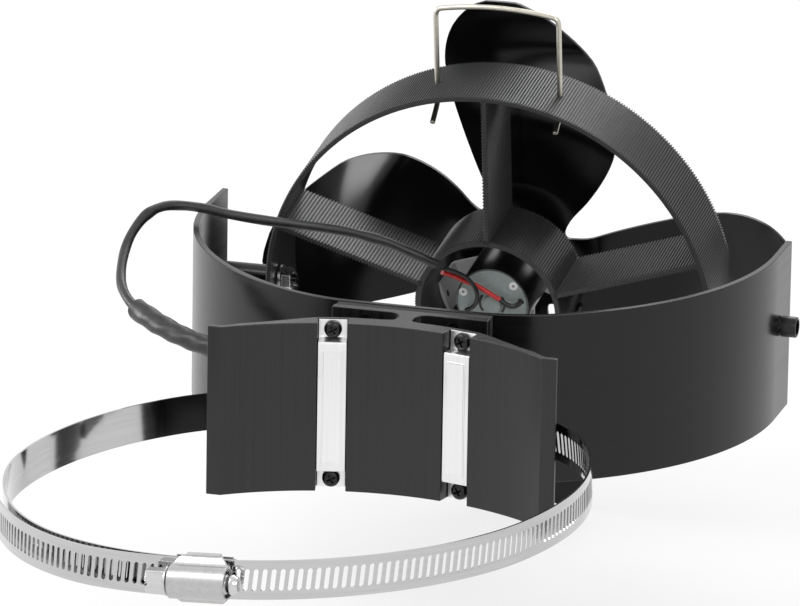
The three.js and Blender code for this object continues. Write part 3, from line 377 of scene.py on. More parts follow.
# ---------------------------------------------------------------- materials
class Nodes:
    """Short calls for a material's node tree."""

    def __init__(self, name):
        self.material = bpy.data.materials.new(name)
        self.material.use_nodes = True
        self.tree = self.material.node_tree
        self.shader = self.tree.nodes["Principled BSDF"]

    def add(self, kind, values=None, inputs=None):
        node = self.tree.nodes.new("ShaderNode" + kind)
        for key, value in (values or {}).items():
            setattr(node, key, value)
        for key, value in (inputs or {}).items():
            self.feed(node.inputs[key], value)
        return node

    def feed(self, socket, value):
        """Links an output or sets a plain value."""
        if hasattr(value, "links"):
            self.tree.links.new(value, socket)
        else:
            socket.default_value = value

    def place(self, scale):
        where = self.add("TexCoord").outputs["Object"]
        return self.add("Mapping", inputs={"Vector": where, "Scale": scale}).outputs["Vector"]

    def noise(self, scale, detail, rough=0.5):
        inputs = {"Vector": self.place(scale), "Scale": 1.0, "Detail": detail, "Roughness": rough}
        return self.add("TexNoise", inputs=inputs).outputs["Fac"]

    def span(self, source, low, high, out_low, out_high):
        inputs = {"Value": source, "From Min": low, "From Max": high, "To Min": out_low, "To Max": out_high}
        return self.add("MapRange", inputs=inputs).outputs["Result"]

    def math(self, operation, a, b):
        return self.add("Math", {"operation": operation}, {0: a, 1: b}).outputs[0]

    def blend(self, share, first, second):
        """A colour between two; a Mix node's colours are its inputs 6 and 7 and its output 2."""
        return self.add("Mix", {"data_type": "RGBA"}, {0: share, 6: first, 7: second}).outputs[2]

    def set(self, key, value):
        self.feed(self.shader.inputs[key], value)

    def bump(self, height, strength, distance):
        inputs = {"Height": height, "Strength": strength, "Distance": distance}
        self.set("Normal", self.add("Bump", inputs=inputs).outputs["Normal"])


def grey(level):
    """An sRGB grey from 0 to 255, or three levels, as a linear colour."""
    levels = level if isinstance(level, tuple) else (level, level, level)
    return tuple(((v / 255 + 0.055) / 1.055) ** 2.4 if v > 10 else v / 255 / 12.92 for v in levels) + (1.0,)


CLOUDS, CLOUD_SHARE, GRAIN_SHARE = 14, 0.4, 0.6
NOISE_LOW, NOISE_HIGH = 0.3, 0.7
# pointiness range over which a colour goes from painted shade in hollows to a painted highlight on outer
# edges
PAINTED_LIGHT_LOW, PAINTED_LIGHT_HIGH = 0.49, 0.54
BUMP_DEPTH = 0.0001
materials = {}


def finish(name, dark, light, metallic, rough, lines=None, bump=0.1, grain=900, ior=1.5, edges=None):
    """A surface with slow clouds and a fine grain between two greys and two roughnesses.

    lines stretches the grain into streaks along one direction; edges is a grey of painted shade for hollows
    and one of painted highlight for outer edges, mixed in by the shape's own pointiness."""
    made = Nodes(name)
    slow = made.noise((CLOUDS, CLOUDS, CLOUDS), 3)
    fine = made.noise(lines, 4, rough=0.65) if lines else made.noise((grain, grain, grain), 2)
    clouds, texture = made.math("MULTIPLY", slow, CLOUD_SHARE), made.math("MULTIPLY", fine, GRAIN_SHARE)
    both = made.math("ADD", clouds, texture)
    colour = made.blend(made.span(both, NOISE_LOW, NOISE_HIGH, 0, 1), grey(dark), grey(light))
    # painted shade in the hollows and a painted highlight on the outer edges take the place of the clouds and
    # grain in the colour
    if edges:
        painted_shade_to_highlight = made.span(made.add("NewGeometry").outputs["Pointiness"], PAINTED_LIGHT_LOW, PAINTED_LIGHT_HIGH, 0, 1)
        colour = made.blend(painted_shade_to_highlight, grey(edges[0]), grey(edges[1]))
    made.set("Base Color", colour)
    made.set("Metallic", metallic)
    made.set("IOR", ior)
    made.set("Roughness", made.span(both, NOISE_LOW, NOISE_HIGH, *rough))
    if bump:
        made.bump(fine, bump, BUMP_DEPTH)
    materials[name] = made.material


finish("saddle_black", 5, 27, 0.0, (0.24, 0.36), lines=(900, 900, 12))
# the ring's edges greys paint shade into the rib grooves and a highlight onto the rib tops
finish("ring_black", 8, 16, 0.0, (0.3, 0.42), lines=(700, 25, 700), bump=0.05, ior=1.4, edges=(2, 52))
finish("shell_black", 4, 18, 0.0, (0.18, 0.28), lines=(12, 12, 1400), bump=0.12, ior=1.4)
finish("blade_black", 3, 5, 0.0, (0.2, 0.26), grain=60, bump=0, ior=1.32)
finish("bright_steel", 232, 243, 1.0, (0.28, 0.4), lines=(900, 900, 20), bump=0.05)
finish("stainless", 196, 214, 1.0, (0.12, 0.2), lines=(30, 30, 1500), bump=0.04)
finish("band_steel", 184, 202, 1.0, (0.06, 0.11), lines=(30, 30, 900), bump=0.02)
finish("housing_steel", 178, 200, 1.0, (0.26, 0.36), lines=(900, 40, 900), bump=0.04)
finish("bail_steel", (190, 185, 171), (204, 200, 190), 1.0, (0.24, 0.34), bump=0.04)
finish("dark_steel", 8, 16, 0.0, (0.2, 0.32), bump=0.05, ior=1.42)
finish("zinc", 208, 224, 1.0, (0.24, 0.32), bump=0)
finish("bracket_zinc", 222, 236, 0.5, (0.42, 0.5), bump=0)
finish("magnet_grey", 120, 140, 1.0, (0.3, 0.45))
finish("ceramic", 214, 226, 0.0, (0.5, 0.65))
finish("graphite", 38, 50, 0.0, (0.6, 0.8))
finish("insulator", 24, 34, 0.0, (0.7, 0.9))
finish("motor_black", 10, 16, 0.0, (0.28, 0.34), bump=0, ior=2.2)
finish("plate_grey", (126, 137, 135), (142, 152, 150), 0.0, (0.35, 0.5))
finish("brass", (176, 146, 80), (196, 168, 100), 1.0, (0.25, 0.35))
finish("cable_black", 18, 40, 0.0, (0.26, 0.5), grain=420, bump=0.8)
finish("wire_red", (168, 30, 30), (196, 44, 42), 0.0, (0.3, 0.4))
finish("wire_black", 14, 22, 0.0, (0.3, 0.4))


SHRINK_ROUTE = [
    (-29.6, 18.9, 8.1), (-40, 18.7, 7.6), (-52, 19, 7.4), (-62, 20.2, 7.7), (-74, 24.2, 9), (-86, 31, 10.8),
    (-97, 39.6, 12.8),
]
SLEEVE_ROUTE = [
    (-97.5, 40.1, 12.9), (-101, 44, 14.2), (-105.3, 51, 16.4), (-108.4, 60, 19.4), (-109.8, 69, 23.2),
    (-109.6, 77, 27.2), (-107.6, 84, 30.6), (-103.6, 90, 32.2), (-98, 94, 32), (-91, 96, 31),
    (-84.4, 96.4, 29.9), (-67.7, 96.4, 28.7), (-49.5, 96.4, 28), (-40, 97, 27), (-32.5, 98.2, 25.2),
    (-25.5, 100, 22.4), (-20, 101.8, 19.8), (-15.8, 104.2, 17.2),
]
RED_ROUTE = [
    (-14.2, -2.9, 13.4), (-11.4, 0.8, 10.8), (-8.3, 2.8, 8.4), (-4.6, 3.4, 6.9), (-0.6, 3.4, 4.8),
    (3.6, 3.6, 2.3),
]
BLACK_ROUTE = [
    (-13.3, -3.2, 15.1), (-10, -0.6, 12.8), (-7.2, 1.2, 10.4), (-4.9, 1.5, 7.6), (-3.9, 1.6, 4.6),
    (-4.4, 2, 1.6), (-6, 3, -0.8), (-8.4, 4, -2.4),
]
TUBE_ROUTE = [
    (3.2, 3.6, 2.6), (4.4, 3.5, 1.6), (6, 3.4, 0.9), (8, 3.3, 0.9), (9.6, 3.4, 1.9), (10.4, 3.6, 3),
]


def make_leads():
    """The lead from the module to the motor; the wires' routes are in the ring's frame."""
    shrink_line = spline(SHRINK_ROUTE, 10)
    sleeve_line = spline(SLEEVE_ROUTE)

    def crinkled(share, turn):
        return 1 + 0.05 * math.sin(turn * 2 + share * 9) + 0.045 * math.sin(share * 61 + turn * 3)

    def uneven(share, turn):
        swell = 0.04 * math.sin(share * 40 + turn) + 0.03 * math.sin(share * 67 - 2 * turn)
        for spot in (0.36, 0.8):
            swell += 0.16 * math.exp(-((share - spot) / 0.018) ** 2)
        return 1 + swell

    def flared(share, turn):
        return 1.25 if share > 0.9 else 1

    def in_ring(route):
        return [RING @ p for p in spline(route)]

    shrink = mesh_object("heat_shrink", tube(shrink_line, 3.3, 24, crinkled))
    own(shrink, "cable_black", "base", "lead_heat_shrink")
    sleeve = mesh_object("sleeve", tube(sleeve_line, 1.6, 16, uneven))
    sleeve.data.materials.append(materials["cable_black"])
    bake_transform(sleeve)
    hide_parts("lead_sleeve")
    red = mesh_object("wire_red", tube(in_ring(RED_ROUTE), 0.78, 12))
    own(red, "wire_red", "ring", "motor_wire_red")
    black = mesh_object("wire_black", tube(in_ring(BLACK_ROUTE), 0.7, 12))
    own(black, "wire_black", "ring", "motor_wire_black")
    end = mesh_object("wire_tube", tube(in_ring(TUBE_ROUTE), 0.85, 14, flared))
    own(end, "wire_black", "ring")


make_leads()

# ---------------------------------------------------------------- hot saddle
FACE_HALF, SADDLE_HALF = 51.5, 56.2
LAND_Y = -FLUE + math.sqrt(FLUE ** 2 - FACE_HALF ** 2)
SLOT_HALF, SLOT_FLOOR = 4.7, 90.4


def on_slot(side, across, radius):
    """A point of a magnet slot's outline, seen from above."""
    angle = side * math.radians(SLOT_ANGLE)
    return (
        radius * math.sin(angle) + across * math.cos(angle),
        -FLUE + radius * math.cos(angle) - across * math.sin(angle),
    )


def saddle_outline():
    """The extrusion's outline: concave face with two slots, edges, web and rear plate."""
    mouth = math.sqrt(FLUE ** 2 - SLOT_HALF ** 2)
    land, half = math.degrees(math.asin(FACE_HALF / FLUE)), math.degrees(math.asin(SLOT_HALF / FLUE))

    def face(start, end, steps):
        return arc(0, -FLUE, FLUE, 90 - start, 90 - end, steps)

    line = [(-SADDLE_HALF, LAND_Y)] + face(-land, -SLOT_ANGLE - half, 30)
    line += [on_slot(-1, x, SLOT_FLOOR) for x in (-SLOT_HALF, SLOT_HALF)] + [on_slot(-1, SLOT_HALF, mouth)]
    line += face(-SLOT_ANGLE + half, SLOT_ANGLE - half, 24)[1:-1]
    line += [on_slot(1, -SLOT_HALF, mouth)] + [on_slot(1, x, SLOT_FLOOR) for x in (-SLOT_HALF, SLOT_HALF)]
    line += face(SLOT_ANGLE + half, land, 30) + [(SADDLE_HALF, LAND_Y)]
    back = [
        (55.5, LAND_Y + 2.2), (52, -15.1), (47.4, -11.3), (42.4, -8.2), (34.5, -2.6), (26.5, 2.7), (16, 5.6),
        (5.9, 7),
    ]
    curved = [tuple(p[:2]) for p in spline([(*p, 0) for p in back], 5)]
    web = [(3.3, 7.7), (2.7, 9), (2.7, 12.6), (3.7, 14.4), (5.9, 15.3)]
    right = [(SADDLE_HALF, LAND_Y + 1.5)] + curved + web + [(25.4, 15.3), (25.4, 18.3)]
    return line + right + [(-x, y) for x, y in reversed(right)]


def stack_holes(start, end):
    """Rods for the four screws that hold the saddle and the shell together."""
    places = [(side * STACK_SCREW_X, 0, z * STACK_SCREW_Z) for side in (-1, 1) for z in (-1, 1)]
    return [bore(SCREW_HOLE, start, end, 20, TO_BACK, Matrix.Translation(p)) for p in places]


def make_saddle():
    made = mesh_object("saddle", prism(saddle_outline(), -HALF_HEIGHT, HALF_HEIGHT), sharp=CREASE)
    tools = [block(13.8, 6.6, 24, 0, 11.7, 0)]
    for side in (-1, 1):
        for end in (-1, 1):
            place = in_slot(side) @ Matrix.Translation((0, 0, end * COVER_SCREW_Z))
            tools.append(bore(SCREW_HOLE, FLUE, 97, 20, TO_BACK, place))
    cut(made, *tools, *stack_holes(14, 20), sharp=CREASE)
    own(bevel(made, 0.3, 30), "saddle_black", "base", "hot_saddle")


# ---------------------------------------------------------------- magnets, covers, screws
HEAD_HEIGHT, SHANK, RECESS = 1.9, 1.45, 0.62
COVER_BEND = [
    (-27.35, 89.5), (-22.2, 89.5), (-21.75, 89.3), (-21.35, 88.7), (-21.35, 86.2), (-21.1, 85.5),
    (-20.5, 85.3),
]
COVER_LINE = COVER_BEND + [(-z, r) for z, r in reversed(COVER_BEND)]
COVER_HALF, COVER_SHEET = 4.45, 0.6
PANEL_HALF, PANEL_HALF_HEIGHT = 3.15, 18.5


def screw(node, place, head, length):
    """A pan-head screw along Z with a cross recess."""
    profile = [(0, -length), (SHANK * 0.8, -length), (SHANK, -length + 0.3), (SHANK, 0)]
    profile += [(head - 0.15, 0), (head, 0.15)]
    for k in range(1, 8):
        angle = math.radians(12 + 78 * k / 7)
        r = head * math.cos(angle) ** 0.6 if k < 7 else 0
        profile.append((r, HEAD_HEIGHT * (0.25 + 0.75 * math.sin(angle))))
    made = mesh_object(node + "_piece", lathe(profile, 40), place)
    wide, deep = head * 1.05, HEAD_HEIGHT * 0.75
    arms = [block(x, y, 2 * deep, 0, 0, HEAD_HEIGHT) for x, y in ((wide, RECESS), (RECESS, wide))]
    cut(made, *arms, place=place @ Matrix.Rotation(0.5, 4, "Z"))
    own(bevel(made, 0.08, 40, 1), "dark_steel", body_of(node), node)


def cover_sheet():
    """The cover's bent sheet, from its height and radius in COVER_LINE."""
    rows = []
    for k, (z, r) in enumerate(COVER_LINE):
        before = Vector(COVER_LINE[max(k - 1, 0)])
        after = Vector(COVER_LINE[min(k + 1, len(COVER_LINE) - 1)])
        along = (after - before).normalized()
        back_z, back_r = z - along.y * COVER_SHEET, r + along.x * COVER_SHEET
        front = [(x, r, z) for x in (-COVER_HALF, COVER_HALF)]
        rows.append(front + [(x, back_r, back_z) for x in (COVER_HALF, -COVER_HALF)])
    return grid(rows, caps=True)


def cover_panel():
    """The raised field of a cover: a low rim round a nearly flat middle."""
    rim = [(x * PANEL_HALF, z * PANEL_HALF_HEIGHT) for x, z in CORNERS]
    inner = [(x * 0.88, z * 0.98) for x, z in rim]
    middle = [(x * 0.94, z * 0.995) for x, z in inner]
    steps = ((85.32, rim), (85.1, rim), (85.1, inner), (85.22, middle))
    rows = [[(x, y, z) for x, z in line] for y, line in steps]
    return grid(rows, caps=True)


def make_magnets():
    for word, side in SIDES:
        made = mesh_object("cover_" + word, cover_sheet(), in_slot(side), sharp=CREASE)
        places = [Matrix.Translation((0, 0, end * COVER_SCREW_Z)) for end in (-1, 1)]
        tools = [bore(SCREW_HOLE, FLUE, 93, 24, TO_BACK, place) for place in places]
        cut(made, *tools, place=in_slot(side), sharp=CREASE)
        join_into(made, mesh_object("panel_" + word, cover_panel(), in_slot(side), sharp=CREASE))
        own(bevel(made, 0.12, 30), "bright_steel", "base", "magnet_cover_" + word)
        refined("magnet_" + word, "magnet_grey", 0.3)
        for height, end in (("top", 1), ("bottom", -1)):
            place = in_slot(side) @ Matrix.Translation((0, 89.35, end * COVER_SCREW_Z)) @ TO_FRONT
            screw(f"cover_screw_{word}_{height}", place, 2.8, 4.6)


# ---------------------------------------------------------------- cold shell
def shell_lines():
    """The shell's outer and inner line, from the right lip round to the left one.

    Each half is a flat, a small arc of 30 degrees, a large arc of 60 degrees and a straight lip."""
    small, large = 56, 98
    small_y = 22.3 + small
    large_in = (large - small) / 2
    large_y = small_y + (large - small) * math.cos(math.pi / 6)
    lines = []
    for inset in (0, 2):
        halves = []
        for flat in (18, 19.6):
            half = [(flat - large_in + large - inset, 133)]
            half += arc(flat - large_in, large_y, large - inset, 0, -60, 60)
            half += arc(flat, small_y, small - inset, -60, -90, 24)[1:]
            halves.append(half)
        lines.append(halves[0] + [(-x, y) for x, y in reversed(halves[1])])
    return lines


def make_shell():
    outside, inside = shell_lines()
    made = mesh_object("shell", strip(outside, inside, -HALF_HEIGHT, HALF_HEIGHT), sharp=CREASE)
    lips = [(side * LIP_X - 5, side * LIP_X + 5) for side in (-1, 1)]
    tools = [bore(PIVOT_HOLE, a, b, 32, TO_RIGHT, Matrix.Translation(PIVOT)) for a, b in lips]
    cut(made, *tools, *stack_holes(20, 27), sharp=CREASE)
    own(bevel(made, 0.25, 30), "shell_black", "base", "cold_shell")
    for word, side in SIDES:
        for height, end in (("top", 1), ("bottom", -1)):
            place = Matrix.Translation((side * STACK_SCREW_X, 24.45, end * STACK_SCREW_Z)) @ TO_BACK
            screw(f"stack_screw_{word}_{height}", place, 2.7, 8.6)


# ---------------------------------------------------------------- ring with its hub and spokes
RING_DEPTH = 29
RING_INSIDE = 73.3
HUB_RADIUS, HUB_INSIDE = 24.5, 22.5
SPOKE_START, SPOKE_END, SPOKE_HALF = 23.3, 73.9, 1.0
PITCH = 0.95
SPOKE_PITCH = 1.15
RIB = 0.5
# one rib: share of the pitch, share of the rib's height that is taken off
RIB_STEPS = ((0.0, 0.0), (0.3, 0.0), (0.5, 1.0), (0.8, 1.0))


def ribbed(radius, start, end):
    """A line of fine rounded ribs round a circle."""
    count = round(math.radians(abs(end - start)) * radius / PITCH)
    points = []
    for k in range(count):
        for share, drop in RIB_STEPS:
            angle = math.radians(start + (end - start) * (k + share) / count)
            r = radius - RIB * drop
            points.append((r * math.cos(angle), r * math.sin(angle)))
    angle = math.radians(end)
    points.append((radius * math.cos(angle), radius * math.sin(angle)))
    return points


def at_radius(points, radius):
    return [(x * radius / math.hypot(x, y), y * radius / math.hypot(x, y)) for x, y in points]


def spoke():
    """A flat bar along X with ribs on both sides."""
    count = round((SPOKE_END - SPOKE_START) / SPOKE_PITCH)
    top, low = [], []
    for k in range(count + 1):
        for share, drop in RIB_STEPS:
            along = SPOKE_START + (SPOKE_END - SPOKE_START) * (k + share) / (count + 1)
            half = SPOKE_HALF - RIB * drop
            top.append((along, half))
            low.append((along, -half))
    return strip(low, top, -RING_DEPTH, 0)


def make_ring():
    """The arch with its hub and three spokes, drilled for the pivot and the bail."""
    leg = math.degrees(math.asin(12 / RING_RADIUS))
    outside = ribbed(RING_RADIUS, -leg, 180 + leg)
    arch = strip(outside, at_radius(outside, RING_INSIDE), -RING_DEPTH, 0)
    outside = ribbed(HUB_RADIUS, 0, 360)[:-1]
    hub = strip(outside, at_radius(outside, HUB_INSIDE), -RING_DEPTH, 0, closed=True)
    spokes = [moved(spoke(), Matrix.Rotation(math.radians(angle), 4, "Z")) for angle in (18, 90, 162)]
    made = mesh_object("ring", joined(arch, hub, *spokes), RING @ TO_FRONT, sharp=30)
    pivot = RING.inverted() @ PIVOT
    at_pivot = Matrix.Translation((0, pivot.y, pivot.z))
    tools = []
    for side in (-1, 1):
        tools.append(bore(PIVOT_HOLE, side * RING_RADIUS - 5, side * RING_RADIUS + 5, 24, TO_RIGHT, at_pivot))
        leg_place = Matrix.Translation((BAIL_X + side * BAIL_HALF, BAIL_Y, 0))
        tools.append(moved(rod(1.15, 65, 77, 20), leg_place))
    cut(made, *tools, place=RING, sharp=30)
    own(made, "ring_black", "ring", "ring_heat_sink")


# ---------------------------------------------------------------- propeller
# edges as (radius, degrees clockwise from the blade's own direction), depths as (radius, depth behind
# the hub's plane)
STRAIGHT_EDGE = [
    (27, -22.9), (35, -22.7), (45, -22), (58, -21), (72, -19.3), (77, -18), (81, -16.4),
    (84, -14.8), (86.4, -13), (88.2, -11.2), (89.4, -9.2), (90, -7),
]
ROUND_EDGE = [
    (27, 47), (30, 46.5), (35, 45), (40, 43.3), (45, 41.3), (50, 38.9), (53, 36), (56, 32.3), (59, 28.5),
    (62, 24.9), (65, 21.4), (68, 18.6), (72, 14), (76.2, 10.3), (82, 5.3), (87.6, -1), (89.4, -5), (90, -7),
]
ROUND_DEPTH = [
    (20.8, 0), (25, 0.5), (30, 1.6), (35, 2.8), (40, 3.5), (45, 3.7), (50, 3.9), (53, 5.3), (56, 7.5),
    (59, 10.2), (62, 12.8), (65, 15), (68, 16.2), (72, 15.4), (76.2, 12.8), (82, 9.8), (87.6, 7), (90, 2.6),
]
STRAIGHT_DEPTH = [(20.8, 0), (27, -1.7), (72, -1.7), (84, -0.7), (88.2, 0.6), (90, 2.6)]
# the notch between two blades: its two directions and its floor; blades run free from BLADE_START on
VALLEY = (-31.5, 58.5)
ROOT = 18
BLADE_START = 27
HUB_PLANE, BLADE_SHEET = 41.2, 1.2
EASE = 2.0


def fade(r, start, length):
    """0 outside the start radius, rising to 1 over the length inwards, or outwards if it is negative."""
    return min(1, max(0, (start - r) / length))


def look_up(table, r, rounding=0.0):
    """A value between the table's points, straight between them or eased by averaging nearby."""
    if rounding:
        spots = [-1, -0.5, 0, 0.5, 1]
        return sum(look_up(table, r + s * rounding) for s in spots) / len(spots)
    if r <= table[0][0]:
        return table[0][1]
    for (r0, v0), (r1, v1) in zip(table, table[1:]):
        if r <= r1:
            return v0 + (v1 - v0) * (r - r0) / (r1 - r0)
    return table[-1][1]


def blade_edges(r):
    """The directions of a blade's straight and round edge at a radius."""
    if r <= ROOT:
        return VALLEY
    ease = EASE * fade(r, 88, 10)
    straight, curved = look_up(STRAIGHT_EDGE, r, ease), look_up(ROUND_EDGE, r, ease)
    if r < BLADE_START:
        reach = (BLADE_START - r) / (BLADE_START - ROOT)
        wide = math.sqrt(1 - reach * reach)
        return VALLEY[0] + (straight - VALLEY[0]) * wide, VALLEY[1] + (curved - VALLEY[1]) * wide
    return straight, curved


RADII = [4.3, 10, ROOT, 18.15, 18.5, 19.2, 20.5, 22.5, 24.7, BLADE_START]
RADII += [BLADE_START + (84 - BLADE_START) * k / 30 for k in range(1, 31)]
RADII += [85, 86, 87, 87.8, 88.5, 89, 89.4, 89.7, 89.9, 90]
COLUMNS = 24


def blade_row(r, turn):
    """The points round a blade's section at a radius: front side, then back side in return."""
    straight, curved = blade_edges(r)
    ease = EASE * fade(r, 22, -10) * fade(r, 88, 6)
    front, back = [], []
    for j in range(COLUMNS + 1):
        t = j / COLUMNS
        angle = math.radians(90 + turn - (straight + (curved - straight) * t))
        lift = look_up(STRAIGHT_DEPTH, r, ease) * (1 - t) + look_up(ROUND_DEPTH, r, ease) * t
        depth = HUB_PLANE + lift
        front.append((r * math.cos(angle), depth, r * math.sin(angle)))
        back.append((r * math.cos(angle), depth + BLADE_SHEET, r * math.sin(angle)))
    return front + back[::-1]


def quarter(turn):
    """A blade with its quarter of the hub, which is open on the sides where the next one joins."""
    points, faces = grid([blade_row(r, turn) for r in RADII])
    width = 2 * (COLUMNS + 1)
    hub_end = RADII.index(ROOT)
    kept = [f for f in faces if f[0] // width >= hub_end or f[0] % width not in (COLUMNS, width - 1)]
    kept += [(j, j + 1, width - 2 - j, width - 1 - j) for j in range(COLUMNS)]
    return points, kept


def make_propeller():
    quarters = [quarter(turn) for turn in (0, 90, 180, 270)]
    made = mesh_object("propeller_sheet", joined(*quarters), RING, weld=2e-5, sharp=40)
    own(bevel(made, 0.35, 50), "blade_black", "rotor", "propeller")
    refined("propeller_boss", "brass", 0.12)
    refined("boss_set_screw", "dark_steel", 0.1)
    refined("motor_shaft", "zinc", 0.15)


# ---------------------------------------------------------------- motor and bracket
def curved_slot(side, outer, inner, half, low, high):
    """A slot along an arc round the motor's axis."""
    lines = [arc(0, 0, radius, side - half, side + half, 16) for radius in (outer, inner)]
    return strip(*lines, low, high)


def make_motor():
    """The can and its end plate, turned round the motor's axis as (radius, depth)."""
    can = [
        (0, 6.6), (11.7, 6.6), (11.7, 5.7), (11.85, 5.6), (12.1, 5.7), (12.2, 6.0), (12.2, 35.4),
        (12.05, 35.9), (11.7, 36.2), (11.2, 36.3), (3.2, 36.3), (3, 36.5), (3, 37.5), (2.8, 37.7), (0, 37.7),
    ]
    made = mesh_object("motor_body", lathe(can, 72), RING_AXIS)
    own(made, "motor_black", "ring", "motor_can")
    plate = [
        (0, 4.75), (1.2, 4.7), (2.6, 4.6), (2.95, 4.7), (3.05, 4.95), (3.05, 5.4), (11.3, 5.4), (11.6, 5.6),
        (11.6, 6.5), (0, 6.5),
    ]
    made = mesh_object("end_plate", lathe(plate, 72), RING_AXIS)
    cut(made, *(curved_slot(side, 4.6, 3.7, 42, 5, 6) for side in (0, 180)), place=RING_AXIS)
    own(made, "plate_grey", "ring", "motor_end_plate")
    # dark pieces set into the end plate's arc slots: painted shade that stands for the slots' dark depth
    for word, side in (("left", 180), ("right", 0)):
        made = mesh_object("vent_shade_" + word, curved_slot(side, 4.5, 3.8, 41, 5.35, 5.8), RING_AXIS)
        own(made, "wire_black", "ring")
    collar = [(0.5, 5.4), (0.5, 5.15), (0.62, 5.05), (1.2, 5.05), (1.42, 5.15), (1.45, 5.4)]
    for word, x, z in (("left", -9.6, 3.4), ("right", 7.3, 7)):
        place = RING @ Matrix.Translation((x, 0, z)) @ TO_BACK
        made = mesh_object("terminal_" + word, lathe(collar, 32), place)
        own(made, "ceramic", "ring")
    refined("motor_bracket", "bracket_zinc", 0, angle=50, slot="zinc")
    for node in ("motor_screw_left", "motor_screw_right"):
        refined(node, "zinc", 0.12)
    for node in ("bracket_screw_left", "bracket_screw_bottom", "bracket_screw_right"):
        refined(node, "dark_steel", 0.12)


# ---------------------------------------------------------------- tilt pivot
def make_pivot():
    """The bolts, nut, washers and spacers, and the knob, turned round the pivot as (radius, x)."""
    for word, _ in SIDES:
        refined("pivot_spacer_" + word, "dark_steel", 0.25)
        refined("pivot_washer_" + word, "zinc", 0.12)
    refined("pivot_nut_left", "zinc", 0.25)
    refined("pivot_bolt_left", "dark_steel", 0.15)
    refined("pivot_bolt_right", "zinc", 0.15)
    place = Matrix.Translation(PIVOT) @ TO_RIGHT
    profile = [
        (2.12, 95.3), (3.2, 95.3), (3.4, 95.5), (3.4, 100), (3.3, 100.25), (3.05, 100.4), (2.65, 100.4),
        (2.5, 100.25), (2.5, 99), (2.12, 99),
    ]
    made = mesh_object("knob", lathe(profile, 48), place, sharp=40)
    own(made, "dark_steel", "knob", "lock_knob")


# ---------------------------------------------------------------- bail
def make_bail():
    """One bent wire: from its end, forward under the ring, up a leg and over the top, then mirrored."""
    half = [(BAIL_HALF, y, z) for y, z in ((7.5, 61.2), (9.7, 62.6), (11.9, 64), (13.3, 65), (14.2, 66.2))]
    half += [(BAIL_HALF, BAIL_Y, 67.6 + 27.8 * k / 8) for k in range(9)]
    bend = [(20.3, 96.7), (19.9, 97.7), (19.1, 98.3), (17.4, 98.7), (13, 99.35), (8, 99.85), (3.5, 100.1)]
    half += [(x, BAIL_Y, z) for x, z in bend]
    line = [(BAIL_X - x, y, z) for x, y, z in half] + [(BAIL_X, BAIL_Y, 100.17)]
    line += [(BAIL_X + x, y, z) for x, y, z in reversed(half)]
    made = mesh_object("bail_wire", tube(spline(line, 3), 0.85), RING)
    own(bevel(made, 0.2, 50), "bail_steel", "bail", "bail_handle", slot="stainless")


# ---------------------------------------------------------------- clamp
# the band's middle line as (degrees, radius), from the tongue round to the tail
BAND_LINE = [
    (276, 94), (262, 94), (248, 93.5), (234, 92.4), (220, 90.4), (208, 88.8), (196, 88.2), (184, 88.4),
    (172, 88.7), (160, 89.6), (148, 91), (136, 92.6), (124, 93.8), (110, 93.2), (97, 91.6), (84, 90.6),
    (70, 91.4), (58, 92.6), (46, 93.2), (34, 92.5), (22, 91), (8, 90.2), (-6, 90.3), (-18, 91), (-32, 92.7),
    (-46, 93.8), (-60, 94.5), (-74, 95), (-88, 95), (-98, 95.1), (-106, 95.8), (-114, 96.3), (-123, 95.5),
    (-135, 93.9), (-145, 92.4), (-156, 91.4),
]
BAND_SHEET = 0.7
# a slot's pitch, width and slant over a length SLANT_OVER, in mm on a circle of radius BAND_MEAN
SLOT_PITCH, SLOT_WIDTH, SLOT_SLANT, SLANT_OVER = 2.6, 1.38, 0.5, 3.4
BAND_MEAN = 93
# heights of the rows of points: edges, ends of the slots and the rounding of these ends
LEVELS = [-6, -3.4, -2.9, 2.9, 3.4, 6]
END_NARROWING = 0.32
FIRST_SLOT = 48.0


def band_radius(angle):
    """A smooth line through the band's radii, as in the CAD source."""
    last = len(BAND_LINE) - 1
    i = next((k for k in range(1, last) if BAND_LINE[k][0] <= angle), last)

    def slope(k):
        (a0, r0), (a1, r1) = BAND_LINE[max(k - 1, 0)], BAND_LINE[min(k + 1, last)]
        return (r1 - r0) / (a1 - a0)

    (start, r0), (end, r1) = BAND_LINE[i - 1], BAND_LINE[i]
    span = end - start
    t = (angle - start) / span
    ease = span * (t * (1 - t) ** 2 * slope(i - 1) - t * t * (1 - t) * slope(i))
    return r0 + (r1 - r0) * t * t * (3 - 2 * t) + ease


